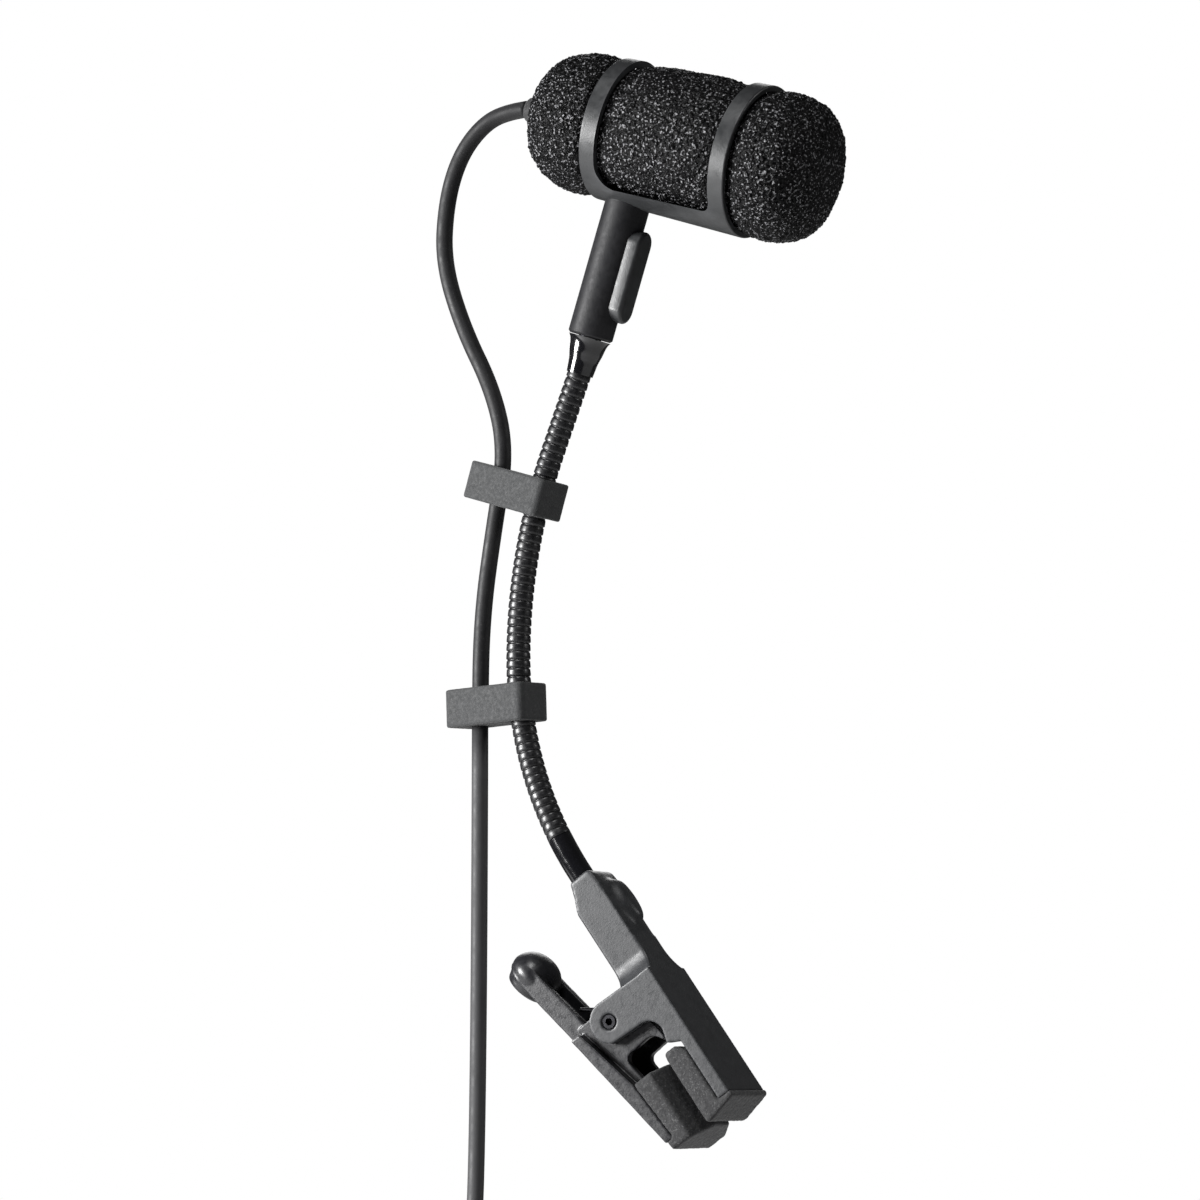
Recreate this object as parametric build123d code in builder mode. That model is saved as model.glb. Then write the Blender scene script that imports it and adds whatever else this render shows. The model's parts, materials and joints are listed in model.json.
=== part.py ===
"""Clip-on instrument microphone: a foam-covered capsule in a cage, on a short gooseneck above a sprung clip.

Millimetres, +Z up. The origin is the middle of the fixed jaw's grip face, and the microphone points along +X.
Every group of pieces has its own side plane, whose sketch X runs along the group and whose sketch Y is "up"
from it, so profiles read as the side view of that group. Sketch normals point along -Y.
"""

import os
from math import asin, cos, degrees, isclose, pi, radians, sin, tan

from build123d import *

os.makedirs("parts", exist_ok=True)

# ---- the clip: along runs from tail to jaw tip, out from pin to back face
CLIP_ANGLE = -54.4  # the clip's long axis above the horizontal
GRIP_ALONG, GRIP_OUT = 19.5, 5.3  # the grip face's middle, from the hinge pin
JAW_HALF_WIDTH = 7.85
ARM_HALF_WIDTH = 4.65
EAR_THICKNESS = 1.9
EAR_RADIUS = 4.0
BACK_FACE_OUT = 12.4
BACK_THICKNESS = 2.6
JAW_TIP_ALONG = 24.2
ARM_UNDER_OUT = 4.9
ARM_END_ALONG = -26.5
PIN_RADIUS = 1.25
PIN_FIT = 0.05  # radial running clearance of the lever on its pin
GAP = 0.3  # between faces of pieces that move past each other

LEVER_EAR_HALF_WIDTH = 5.6
LEVER_EAR_THICKNESS = 1.6
PAD_REAR_ALONG, PAD_TIP_ALONG = 12.3, 26.6
PAD_EDGE = 0.9

# ---- the gooseneck, measured from the hinge pin in the XZ plane
NECK_RADIUS = 2.3
NECK_START = (-9.6, 27.6)
NECK_START_TILT = 35.6  # from the vertical, leaning towards -X
NECK_LOWER_ARC = 70.0
NECK_UPPER_ARC = 108.0
NECK_END_TILT = 21.0  # leaning towards +X
NECK_STRAIGHT = 15.5
FERRULE_LENGTH = 8.0  # smooth collar at the clip
FERRULE_SUNK = 6.0  # its length inside the arm
BEND_LOWER_Z = 45.0
BEND_UPPER_Z = 80.0
BEND_CLEARANCE = 0.2  # between the ball end and its cup

# ---- the holder and the microphone
SLEEVE_TILT = 17.7  # from the vertical, towards +X
SLEEVE_FOOT = (-7.67, 128.5)
SLEEVE_RADIUS = 4.3
SLEEVE_LENGTH = 25.0
SPIGOT_RADIUS = 2.2
SPIGOT_LENGTH = 16.0
HEAD_TILT = 16.4  # the microphone's axis points this far below the horizontal
REAR_RING = (-0.9, 167.4)  # centre of the rear ring
RING_SPACING = 28.0
RING_WIDTH = 3.3
RING_WALL = 1.3
REAR_RING_RADIUS = 13.6
FRONT_RING_RADIUS = 14.4
FOAM_REAR, FOAM_FRONT = -17.0, 43.7
FOAM_RADIUS = 13.6
MIC_RADIUS = 6.1
MIC_REAR = -16.0
MIC_LENGTH = 37.8
BOOT_RADIUS = 2.3
BOOT_LENGTH = 4.6

# ---- the lead
LEAD_RADIUS = 1.6
LEAD_TOTAL = 1800.0
CLIP_YAW = 17.0  # the cable clips' turn about the neck, which takes the lead back to +Y
CLIP_PITCH = 10.7  # between a cable clip's two holes
CLIP_NECK_END, CLIP_LEAD_END = 3.7, 5.9  # from each hole to the block's end
CLIP_DEPTH, CLIP_HEIGHT = 8.0, 7.2
UPPER_CLIP_Z, LOWER_CLIP_Z = 98.7, 60.0
HANK_TOP = -41.0
HANK_FOLD = 9.6  # centreline radius of the inner fold
HANK_RUN = 57.4
HANK_COLUMNS = 4
HANK_LAYERS = 2
TAIL_DROP = 24.0  # from the last run's end to the connector's boot
CONNECTOR_RADIUS = 4.8
CONNECTOR_LENGTH = 27.0

# ---- where the hinge pin is in the model's frame
ALONG = Vector(cos(radians(CLIP_ANGLE)), 0, sin(radians(CLIP_ANGLE)))
OUT = Vector(-sin(radians(CLIP_ANGLE)), 0, cos(radians(CLIP_ANGLE)))
PIN = -(ALONG * GRIP_ALONG + OUT * GRIP_OUT)


def from_pin(x, z, y=0.0):
    """A point of the model, given from the hinge pin."""
    return Vector(PIN.X + x, y, PIN.Z + z)


def side_plane(origin, angle, y=0.0):
    """The XZ plane at origin, its sketch X turned angle degrees above +X, its normal along -Y."""
    return Plane(
        origin=(origin.X, y, origin.Z), x_dir=(cos(radians(angle)), 0, sin(radians(angle))), z_dir=(0, -1, 0)
    )


def across(origin, direction):
    """The plane at origin that faces along direction, its sketch X along +Y."""
    return Plane(origin=origin, x_dir=(0, 1, 0), z_dir=direction)


CLIP = side_plane(PIN, CLIP_ANGLE)


def save(piece, name):
    """Label a finished piece and write its STEP file."""
    piece.part.label = name
    export_step(piece.part, f"parts/{name}.step")


# ======================================================================= clip body
JAW_UNDER = BACK_FACE_OUT - BACK_THICKNESS
EAR_INNER = JAW_HALF_WIDTH - EAR_THICKNESS
ARCH_TOP = 8.0  # the underside of the ears' arch over the throat
EAR_REAR = -3.4
EAR_ARCH_END = 10.0

with BuildPart() as clip_body:
    # the back plate, narrow along the arm and full width over the ears and jaw
    with BuildSketch(Plane(CLIP.from_local_coords((0, 0, 0)), x_dir=ALONG, z_dir=OUT)):
        with BuildLine():
            Polyline(
                (EAR_REAR, 0), (EAR_REAR - 4.4, 0), (ARM_END_ALONG + 3.5, 0), (ARM_END_ALONG + 3.5, ARM_HALF_WIDTH),
                (EAR_REAR - 4.4, ARM_HALF_WIDTH),
            )
            ThreePointArc(
                (EAR_REAR - 4.4, ARM_HALF_WIDTH),
                (EAR_REAR - 1.6, ARM_HALF_WIDTH + 1.1),
                (EAR_REAR, JAW_HALF_WIDTH),
            )
            Line((EAR_REAR, JAW_HALF_WIDTH), (EAR_REAR, 0))
        make_face()
        mirror(about=Plane.XZ)
    extrude(amount=BACK_FACE_OUT)
    with BuildSketch(Plane(CLIP.from_local_coords((0, 0, 0)), x_dir=ALONG, z_dir=OUT)):
        with Locations((EAR_REAR - 5.0, 0)):
            Rectangle(60, 30)
    extrude(amount=ARM_UNDER_OUT, mode=Mode.SUBTRACT)
    # the arm's rounded rear end, which holds the gooseneck's ferrule
    with BuildSketch(CLIP):
        with BuildLine():
            Polyline(
                (ARM_END_ALONG + 3.5, BACK_FACE_OUT), (ARM_END_ALONG + 1.2, BACK_FACE_OUT - 0.2),
                (ARM_END_ALONG, BACK_FACE_OUT - 1.0), (ARM_END_ALONG, 6.9), (ARM_END_ALONG + 2.8, 6.2),
                (ARM_END_ALONG + 6.0, ARM_UNDER_OUT), (ARM_END_ALONG + 7.0, ARM_UNDER_OUT),
                (ARM_END_ALONG + 7.0, BACK_FACE_OUT), (ARM_END_ALONG + 3.5, BACK_FACE_OUT),
            )
        make_face()
    extrude(amount=ARM_HALF_WIDTH, both=True)
    with BuildSketch(CLIP):
        Polygon(
            (ARM_END_ALONG - 0.1, 0), (ARM_END_ALONG + 6.0, 0), (ARM_END_ALONG + 6.0, ARM_UNDER_OUT),
            (ARM_END_ALONG + 2.8, 6.2), (ARM_END_ALONG - 0.1, 7.0), align=None,
        )
    extrude(amount=JAW_HALF_WIDTH, both=True, mode=Mode.SUBTRACT)
    # the jaw's back plate
    with BuildSketch(CLIP):
        with Locations((EAR_REAR - 0.2, JAW_UNDER)):
            Rectangle(JAW_TIP_ALONG - EAR_REAR + 0.2, BACK_THICKNESS, align=Align.MIN)
    extrude(amount=JAW_HALF_WIDTH, both=True)
    # two ears: rounded about the pin, arched over the throat
    for side in (-1, 1):
        with BuildSketch(Plane(origin=CLIP.origin + Vector(0, side * EAR_INNER, 0), x_dir=ALONG, z_dir=(0, -1, 0))):
            with BuildLine():
                Line((EAR_REAR, BACK_FACE_OUT - 0.2), (EAR_REAR - 0.6, 0.4))
                ThreePointArc((EAR_REAR - 0.6, 0.4), (-0.6, -EAR_RADIUS + 0.05), (EAR_RADIUS - 0.35, -1.6))
                Line((EAR_RADIUS - 0.35, -1.6), (EAR_RADIUS + 0.1, ARCH_TOP - 3.4))
                ThreePointArc(
                    (EAR_RADIUS + 0.1, ARCH_TOP - 3.4), (EAR_RADIUS + 1.0, ARCH_TOP - 0.95), (EAR_RADIUS + 3.4, ARCH_TOP)
                )
                Polyline(
                    (EAR_RADIUS + 3.4, ARCH_TOP), (EAR_ARCH_END, ARCH_TOP - 0.7), (EAR_ARCH_END + 1.4, JAW_UNDER + 0.1),
                    (EAR_ARCH_END + 1.4, BACK_FACE_OUT - 0.2), (EAR_REAR, BACK_FACE_OUT - 0.2),
                )
            make_face()
        extrude(amount=-side * EAR_THICKNESS)
    # low oval dome for the thumb on the arm's back
    with BuildSketch(Plane(origin=CLIP.from_local_coords((-18.2, BACK_FACE_OUT - 1.4, 0)), x_dir=ALONG, z_dir=OUT)):
        Ellipse(6.6, ARM_HALF_WIDTH - 0.1)
    extrude(amount=3.4, taper=36)
    fillet(clip_body.edges().group_by(Axis(CLIP.origin, OUT))[-1], 1.0)
    # the ferrule's bore in the arm's end
    ferrule_start = CLIP.to_local_coords(from_pin(*NECK_START))
    bore_mouth = CLIP.from_local_coords((ARM_END_ALONG - 1, ferrule_start.Y, 0))
    with BuildSketch(across(bore_mouth, ALONG)):
        Circle(NECK_RADIUS + 0.01)
    extrude(amount=ferrule_start.X + FERRULE_SUNK + 0.05 - ARM_END_ALONG + 1, mode=Mode.SUBTRACT)
    # the arm's four long edges
    arm_edges = clip_body.edges().filter_by(Axis(PIN, ALONG)).filter_by(
        lambda edge: isclose(abs(edge.center().Y), ARM_HALF_WIDTH, abs_tol=0.01)
    )
    fillet(arm_edges, 0.5)
    # holes for the pin, sunk at its two ends
    with BuildSketch(CLIP):
        Circle(PIN_RADIUS + 0.01)
    extrude(amount=JAW_HALF_WIDTH + 1, both=True, mode=Mode.SUBTRACT)
    for side in (-1, 1):
        with BuildSketch(side_plane(PIN, CLIP_ANGLE, side * JAW_HALF_WIDTH)):
            Circle(PIN_RADIUS + 0.3)
        extrude(amount=side * 0.5, mode=Mode.SUBTRACT)

save(clip_body, "clip_body")

# ======================================================================= hinge pin
with BuildPart() as hinge_pin:
    with BuildSketch(CLIP):
        Circle(PIN_RADIUS)
    extrude(amount=JAW_HALF_WIDTH - 0.1, both=True)
    for side in (-1, 1):
        with BuildSketch(side_plane(PIN, CLIP_ANGLE, side * (JAW_HALF_WIDTH - 0.1))):
            RegularPolygon(0.75, 6)
        extrude(amount=side * 1.4, mode=Mode.SUBTRACT)
save(hinge_pin, "hinge_pin")

# ======================================================================= torsion spring
WIRE_RADIUS = 0.4
COIL_RADIUS = 2.3
COIL_TURNS = 3.76  # leaves one leg pointing at the handle and the other at the arm
COIL_PITCH = 0.95
SPRING_LEG_TO_ARM = 9.4
SPRING_LEG_TO_HANDLE = 8.5

COIL_LENGTH = COIL_TURNS * COIL_PITCH
with BuildPart() as torsion_spring:
    with BuildLine() as coil_line:
        Helix(
            pitch=COIL_PITCH, height=COIL_LENGTH, radius=COIL_RADIUS,
            center=PIN - Vector(0, COIL_LENGTH / 2, 0), direction=(0, 1, 0),
        )
    with BuildSketch(across(coil_line.line @ 0, coil_line.line % 0)):
        Circle(WIRE_RADIUS)
    sweep(path=coil_line.line, is_frenet=True)
    with BuildSketch(across(coil_line.line @ 0, -(coil_line.line % 0))):
        Circle(WIRE_RADIUS)
    extrude(amount=SPRING_LEG_TO_HANDLE)
    with BuildSketch(across(coil_line.line @ 1, coil_line.line % 1)):
        Circle(WIRE_RADIUS)
    extrude(amount=SPRING_LEG_TO_ARM)
save(torsion_spring, "torsion_spring")

# ======================================================================= jaw lever
HANDLE_END = -22.6
HANDLE_WALL = 1.4
HANDLE_WEB = 1.6
THUMB = (-18.0, -10.3)  # centre of the thumb pad at the handle's end
THUMB_TILT = 12.5
THUMB_RADIUS, THUMB_HALF_HEIGHT, THUMB_CROWN = 5.1, 4.0, 0.8

with BuildPart() as jaw_lever:
    # the handle, a channel open towards the arm
    with BuildSketch(CLIP):
        Polygon(
            (-0.2, -5.4), (-5.3, -5.8), (-18.8, -8.6), (HANDLE_END, -10.0), (HANDLE_END, -12.4),
            (-19.3, -12.4), (-13.6, -11.5), (-2.7, -9.3), (-0.2, -8.8), align=None,
        )
    extrude(amount=ARM_HALF_WIDTH, both=True)
    with BuildSketch(CLIP):
        Polygon((-3.0, -2.0), (-3.0, -7.7), (-13.6, -9.9), (-20, -11.0), (-20, -5.0), align=None)
    extrude(amount=ARM_HALF_WIDTH - HANDLE_WALL, both=True, mode=Mode.SUBTRACT)
    # its end rounded in plan
    with BuildSketch(Plane(CLIP.origin, x_dir=ALONG, z_dir=OUT)):
        with BuildLine():
            Polyline((THUMB[0], -ARM_HALF_WIDTH), (-40, -ARM_HALF_WIDTH), (-40, ARM_HALF_WIDTH), (THUMB[0], ARM_HALF_WIDTH))
            ThreePointArc(
                (THUMB[0], ARM_HALF_WIDTH), (THUMB[0] - ARM_HALF_WIDTH, 0), (THUMB[0], -ARM_HALF_WIDTH)
            )
        make_face()
    extrude(amount=-20, mode=Mode.SUBTRACT)
    # the thumb pad, a lens that stands out on both sides
    thumb_plane = side_plane(CLIP.from_local_coords((THUMB[0], THUMB[1], 0)), CLIP_ANGLE + THUMB_TILT)
    with BuildSketch(thumb_plane):
        with BuildLine():
            Polyline(
                (THUMB_CROWN, -THUMB_HALF_HEIGHT), (0, -THUMB_HALF_HEIGHT), (0, THUMB_HALF_HEIGHT),
                (THUMB_CROWN, THUMB_HALF_HEIGHT),
            )
            Spline(
                (THUMB_CROWN, THUMB_HALF_HEIGHT), (4.3, 2.2), (THUMB_RADIUS, 0), (4.3, -2.2),
                (THUMB_CROWN, -THUMB_HALF_HEIGHT), tangents=[(1, -0.1), (-1, -0.1)],
            )
        make_face()
    revolve(axis=Axis(thumb_plane.origin, thumb_plane.y_dir), revolution_arc=360)
    # the full-width plate under the moving jaw
    with BuildSketch(CLIP):
        Polygon((-1.6, -8.4), (24.7, -3.5), (24.6, -1.7), (12.3, -2.7), (-1.6, -6.3), align=None)
    extrude(amount=JAW_HALF_WIDTH, both=True)
    # the hollow between the ears, open to the handle
    with BuildSketch(CLIP):
        Polygon((-6.0, -2.0), (-6.0, -8.0), (-1.0, -7.2), (9.5, -5.0), (9.5, -2.0), align=None)
    extrude(amount=LEVER_EAR_HALF_WIDTH - LEVER_EAR_THICKNESS, both=True, mode=Mode.SUBTRACT)
    # the two inner ears
    for side in (-1, 1):
        with BuildSketch(side_plane(PIN, CLIP_ANGLE, side * LEVER_EAR_HALF_WIDTH)):
            with BuildLine():
                Line((-3.2, -7.0), (-3.5, -0.4))
                ThreePointArc((-3.5, -0.4), (-2.5, 2.5), (0.2, 4.0))
                Polyline((0.2, 4.0), (4.0, 6.2), (8.4, 6.9), (8.4, 6.1))
                ThreePointArc((8.4, 6.1), (7.1, 5.3), (6.4, 3.2))
                Line((6.4, 3.2), (6.6, -0.2))
                ThreePointArc((6.6, -0.2), (7.0, -1.4), (8.2, -1.8))
                Polyline((8.2, -1.8), (12.2, -1.2), (12.2, -3.6), (-3.2, -7.0))
            make_face()
        extrude(amount=side * LEVER_EAR_THICKNESS)
    with BuildSketch(CLIP):
        Circle(PIN_RADIUS + PIN_FIT)
    extrude(amount=JAW_HALF_WIDTH, both=True, mode=Mode.SUBTRACT)
save(jaw_lever, "jaw_lever")

# ======================================================================= jaw pads
UPPER_PAD_REAR = PAD_REAR_ALONG - 1.0
PAD_TOP_OUT = BACK_FACE_OUT + 0.3
PAD_RISE_OUT = 1.3  # where the lower pad's sloping shoulders start
RIDGE_HALF_WIDTH = 3.2

with BuildPart() as upper_jaw_pad:
    with BuildSketch(CLIP):
        with BuildLine():
            Polyline(
                (UPPER_PAD_REAR, GRIP_OUT), (PAD_TIP_ALONG, GRIP_OUT), (PAD_TIP_ALONG, GRIP_OUT + 1.2),
                (PAD_TIP_ALONG - 1.3, PAD_TOP_OUT), (JAW_TIP_ALONG, PAD_TOP_OUT), (JAW_TIP_ALONG, JAW_UNDER),
                (UPPER_PAD_REAR + 2.2, JAW_UNDER), (UPPER_PAD_REAR, JAW_UNDER - 1.6), (UPPER_PAD_REAR, GRIP_OUT),
            )
        make_face()
    extrude(amount=JAW_HALF_WIDTH + 0.15, both=True)
    fillet(upper_jaw_pad.faces().sort_by(Axis(PIN, -OUT))[-1].edges(), PAD_EDGE)
    fillet(upper_jaw_pad.faces().sort_by(Axis(PIN, ALONG))[-1].edges().filter_by(GeomType.LINE), PAD_EDGE / 2)
save(upper_jaw_pad, "upper_jaw_pad")

with BuildPart() as lower_jaw_pad:
    with BuildSketch(Plane(CLIP.from_local_coords((PAD_REAR_ALONG, 0, 0)), x_dir=(0, 1, 0), z_dir=ALONG)):
        Polygon(
            (-JAW_HALF_WIDTH - 0.15, -5), (JAW_HALF_WIDTH + 0.15, -5), (JAW_HALF_WIDTH + 0.15, PAD_RISE_OUT),
            (RIDGE_HALF_WIDTH, GRIP_OUT - GAP), (-RIDGE_HALF_WIDTH, GRIP_OUT - GAP),
            (-JAW_HALF_WIDTH - 0.15, PAD_RISE_OUT), align=None,
        )
    extrude(amount=PAD_TIP_ALONG - PAD_REAR_ALONG)
    # cut to the lever's sloping top, but wrapped round its tip
    with BuildSketch(CLIP):
        Polygon((12.0, -8), (12.0, -2.72), (12.3, -2.7), (24.6, -1.7), (24.7, -3.5), (24.7, -8), align=None)
    extrude(amount=JAW_HALF_WIDTH + 1, both=True, mode=Mode.SUBTRACT)
    with BuildSketch(CLIP):
        Polygon((24.0, -8), (24.0, -3.4), (27.0, -2.9), (27.0, -8), align=None)
    extrude(amount=JAW_HALF_WIDTH + 1, both=True, mode=Mode.SUBTRACT)
    fillet(lower_jaw_pad.edges().filter_by(Axis(PIN, ALONG)).group_by(Axis(PIN, OUT))[-1], PAD_EDGE)
    fillet(lower_jaw_pad.faces().sort_by(Axis(PIN, ALONG))[-1].edges(), PAD_EDGE / 2)
save(lower_jaw_pad, "lower_jaw_pad")

# ======================================================================= gooseneck
NECK = side_plane(PIN, 0)  # sketch X and Y are X and Z from the hinge pin
NECK_TOP_OF_ARC = (
    NECK_START[0] - NECK_LOWER_ARC * (1 - cos(radians(NECK_START_TILT))),
    NECK_START[1] + NECK_LOWER_ARC * sin(radians(NECK_START_TILT)),
)


def neck_at(tilt):
    """The neck's centreline where it leans tilt degrees: towards -X below the vertical point, +X above it."""
    arc = NECK_LOWER_ARC if tilt < 0 else NECK_UPPER_ARC
    x, z = NECK_TOP_OF_ARC
    return (x + arc * (1 - cos(radians(tilt))), z + arc * sin(radians(tilt)))


def neck_tilt(z):
    """How many degrees the neck leans at a height above the hinge pin."""
    rise = z - NECK_TOP_OF_ARC[1]
    arc = NECK_LOWER_ARC if rise < 0 else NECK_UPPER_ARC
    return degrees(asin(rise / arc))


def neck_piece(from_tilt, to_tilt, straight=0.0):
    """The neck's solid between two leans, with a straight length on top."""
    with BuildPart() as tube:
        with BuildLine(NECK) as centreline:
            leans = [from_tilt, 0.0, to_tilt] if from_tilt < 0 < to_tilt else [from_tilt, to_tilt]
            for first, last in zip(leans, leans[1:]):
                middle = (first + last) / 2
                bias = -1e-9 if last <= 0 else 1e-9
                ThreePointArc(neck_at(first + bias), neck_at(middle), neck_at(last + bias))
            if straight:
                x, z = neck_at(to_tilt)
                lean = radians(to_tilt)
                Line((x, z), (x + straight * sin(lean), z + straight * cos(lean)))
        with BuildSketch(across(centreline.line @ 0, centreline.line % 0)):
            Circle(NECK_RADIUS)
        sweep(path=centreline.line)
    return tube.part


def bend_ball(tilt, radius, mode):
    """Add a ball at the neck's bend, or cut its cup."""
    x, z = neck_at(tilt)
    with Locations(from_pin(x, z)):
        Sphere(radius, mode=mode)


FERRULE_LEAN = -NECK_START_TILT + degrees(FERRULE_LENGTH / NECK_LOWER_ARC)
BEND_LOWER_LEAN = neck_tilt(BEND_LOWER_Z)
BEND_UPPER_LEAN = neck_tilt(BEND_UPPER_Z)
CUP_RADIUS = NECK_RADIUS + BEND_CLEARANCE

with BuildPart() as gooseneck_lower:
    add(neck_piece(FERRULE_LEAN, BEND_LOWER_LEAN))
    bend_ball(BEND_LOWER_LEAN, NECK_RADIUS, Mode.ADD)
save(gooseneck_lower, "gooseneck_lower")

with BuildPart() as gooseneck_middle:
    add(neck_piece(BEND_LOWER_LEAN, BEND_UPPER_LEAN))
    bend_ball(BEND_LOWER_LEAN, CUP_RADIUS, Mode.SUBTRACT)
    bend_ball(BEND_UPPER_LEAN, NECK_RADIUS, Mode.ADD)
save(gooseneck_middle, "gooseneck_middle")

with BuildPart() as gooseneck_upper:
    add(neck_piece(BEND_UPPER_LEAN, NECK_END_TILT, NECK_STRAIGHT))
    bend_ball(BEND_UPPER_LEAN, CUP_RADIUS, Mode.SUBTRACT)
save(gooseneck_upper, "gooseneck_upper")

# the smooth collar that joins neck and clip, sunk in the arm's end
with BuildPart() as clip_ferrule:
    add(neck_piece(-NECK_START_TILT, FERRULE_LEAN))
    lean = radians(-NECK_START_TILT)
    with BuildSketch(across(from_pin(*NECK_START), (-sin(lean), 0, -cos(lean)))):
        Circle(NECK_RADIUS)
    extrude(amount=FERRULE_SUNK)
save(clip_ferrule, "clip_ferrule")

# ======================================================================= cable clips
def cable_clip_frame(z, lean):
    """Where a cable clip sits: its neck hole's centre, its two holes' direction and the way to the lead."""
    x, _ = neck_at(neck_tilt(z))
    up = Vector(sin(radians(lean)), 0, cos(radians(lean)))
    to_lead = Vector(-cos(radians(lean)), 0, sin(radians(lean))).rotate(Axis((0, 0, 0), up), -CLIP_YAW)
    return from_pin(x, z), up, to_lead


def cable_clip(z, lean):
    """A rubber block, before its holes for the neck and the lead are cut."""
    centre, up, to_lead = cable_clip_frame(z, lean)
    length = CLIP_NECK_END + CLIP_PITCH + CLIP_LEAD_END
    with BuildPart() as block:
        with BuildSketch(Plane(origin=centre, x_dir=to_lead, z_dir=up)):
            with Locations((length / 2 - CLIP_NECK_END, 0)):
                RectangleRounded(length, CLIP_DEPTH, 1.4)
        extrude(amount=CLIP_HEIGHT / 2, both=True)
        fillet(block.faces().filter_by(Axis((0, 0, 0), up)).edges(), 0.3)
    return block.part


UPPER_CLIP_LEAN = neck_tilt(UPPER_CLIP_Z)
LOWER_CLIP_LEAN = -2.0

# ======================================================================= swivel ferrule and holder sleeve
SLEEVE_UP = Vector(sin(radians(SLEEVE_TILT)), 0, cos(radians(SLEEVE_TILT)))
SLEEVE_ORIGIN = from_pin(*SLEEVE_FOOT)
SLEEVE = side_plane(SLEEVE_ORIGIN, 90 - SLEEVE_TILT)  # sketch X up the sleeve, sketch Y towards -X
SLEEVE_AXIS = Axis(SLEEVE_ORIGIN, SLEEVE_UP)
WAIST_LENGTH = 7.2
COLLAR_GAP = 0.15

with BuildPart() as swivel_ferrule:
    with BuildSketch(SLEEVE):
        with BuildLine():
            Polyline((-WAIST_LENGTH, 0), (-WAIST_LENGTH, NECK_RADIUS + 0.25), (-WAIST_LENGTH + 2.0, NECK_RADIUS + 0.45))
            Spline(
                (-WAIST_LENGTH + 2.0, NECK_RADIUS + 0.45), (-3.0, 3.2), (-COLLAR_GAP, SLEEVE_RADIUS - 0.25),
                tangents=[(1, 0.05), (1, 0.9)],
            )
            Polyline((-COLLAR_GAP, SLEEVE_RADIUS - 0.25), (-COLLAR_GAP, 0), (-WAIST_LENGTH, 0))
        make_face()
    revolve(axis=SLEEVE_AXIS, revolution_arc=360)
    add(neck_piece(NECK_END_TILT - 4, NECK_END_TILT, NECK_STRAIGHT), mode=Mode.SUBTRACT)
save(swivel_ferrule, "swivel_ferrule")

with BuildPart() as swivel_spigot:
    with BuildSketch(SLEEVE):
        with BuildLine():
            Polyline(
                (-COLLAR_GAP, 0), (-COLLAR_GAP, SPIGOT_RADIUS), (SPIGOT_LENGTH - 3.0, SPIGOT_RADIUS),
                (SPIGOT_LENGTH - 3.0, SPIGOT_RADIUS - 0.5), (SPIGOT_LENGTH - 2.0, SPIGOT_RADIUS - 0.5),
                (SPIGOT_LENGTH - 2.0, SPIGOT_RADIUS), (SPIGOT_LENGTH - 0.4, SPIGOT_RADIUS),
                (SPIGOT_LENGTH, SPIGOT_RADIUS - 0.4), (SPIGOT_LENGTH, 0), (-COLLAR_GAP, 0),
            )
        make_face()
    revolve(axis=SLEEVE_AXIS, revolution_arc=360)
save(swivel_spigot, "swivel_spigot")

with BuildPart() as spigot_ring:
    with BuildSketch(Plane(origin=SLEEVE_ORIGIN + SLEEVE_UP * (SPIGOT_LENGTH - 2.95), x_dir=(0, 1, 0), z_dir=SLEEVE_UP)):
        Circle(SPIGOT_RADIUS + 0.7)
        Circle(SPIGOT_RADIUS - 0.5, mode=Mode.SUBTRACT)
        with Locations((SPIGOT_RADIUS, 0)):
            Rectangle(3.0, 1.6, mode=Mode.SUBTRACT)
    extrude(amount=0.9)
save(spigot_ring, "spigot_ring")

SPIGOT_FIT = 0.05
with BuildPart() as holder_sleeve:
    with BuildSketch(SLEEVE):
        with BuildLine():
            Polyline(
                (0, SPIGOT_RADIUS + SPIGOT_FIT), (0, SLEEVE_RADIUS - 0.4), (0.4, SLEEVE_RADIUS),
                (SLEEVE_LENGTH + 2.0, SLEEVE_RADIUS), (SLEEVE_LENGTH + 2.0, 0), (SPIGOT_LENGTH + 0.3, 0),
                (SPIGOT_LENGTH + 0.3, SPIGOT_RADIUS + 1.0), (SPIGOT_LENGTH - 3.3, SPIGOT_RADIUS + 1.0),
                (SPIGOT_LENGTH - 3.3, SPIGOT_RADIUS + SPIGOT_FIT), (0, SPIGOT_RADIUS + SPIGOT_FIT),
            )
        make_face()
    revolve(axis=SLEEVE_AXIS, revolution_arc=360)

BAR_LENGTH, BAR_WIDTH, BAR_FACE_OUT, BAR_ROOT_OUT = 17.8, 5.4, 6.1, 3.3
BAR_MIDDLE = 12.9  # above the sleeve's foot
with BuildPart() as sleeve_grip_bar:
    with BuildSketch(Plane(origin=SLEEVE.from_local_coords((BAR_MIDDLE, -BAR_ROOT_OUT, 0)), x_dir=SLEEVE_UP, z_dir=-SLEEVE.y_dir)):
        SlotOverall(BAR_LENGTH, BAR_WIDTH)
    extrude(amount=BAR_FACE_OUT - BAR_ROOT_OUT)
    fillet(sleeve_grip_bar.faces().sort_by(Axis(SLEEVE_ORIGIN, SLEEVE.y_dir))[0].edges(), 0.7)
    add(holder_sleeve.part, mode=Mode.SUBTRACT)

# ======================================================================= cage
HEAD_ORIGIN = from_pin(*REAR_RING)
HEAD = side_plane(HEAD_ORIGIN, -HEAD_TILT)  # sketch X forward along the microphone, sketch Y up
HEAD_AXIS = Axis(HEAD_ORIGIN, HEAD.x_dir)
CONE = (FRONT_RING_RADIUS - REAR_RING_RADIUS) / RING_SPACING  # how fast the cage widens forward
RIB_HALF_ANGLE = 33.0  # of the lower rib, either side of straight down
REAR_CORNER, FRONT_CORNER = 3.6, 1.8  # radii of the side windows' lower corners


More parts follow.
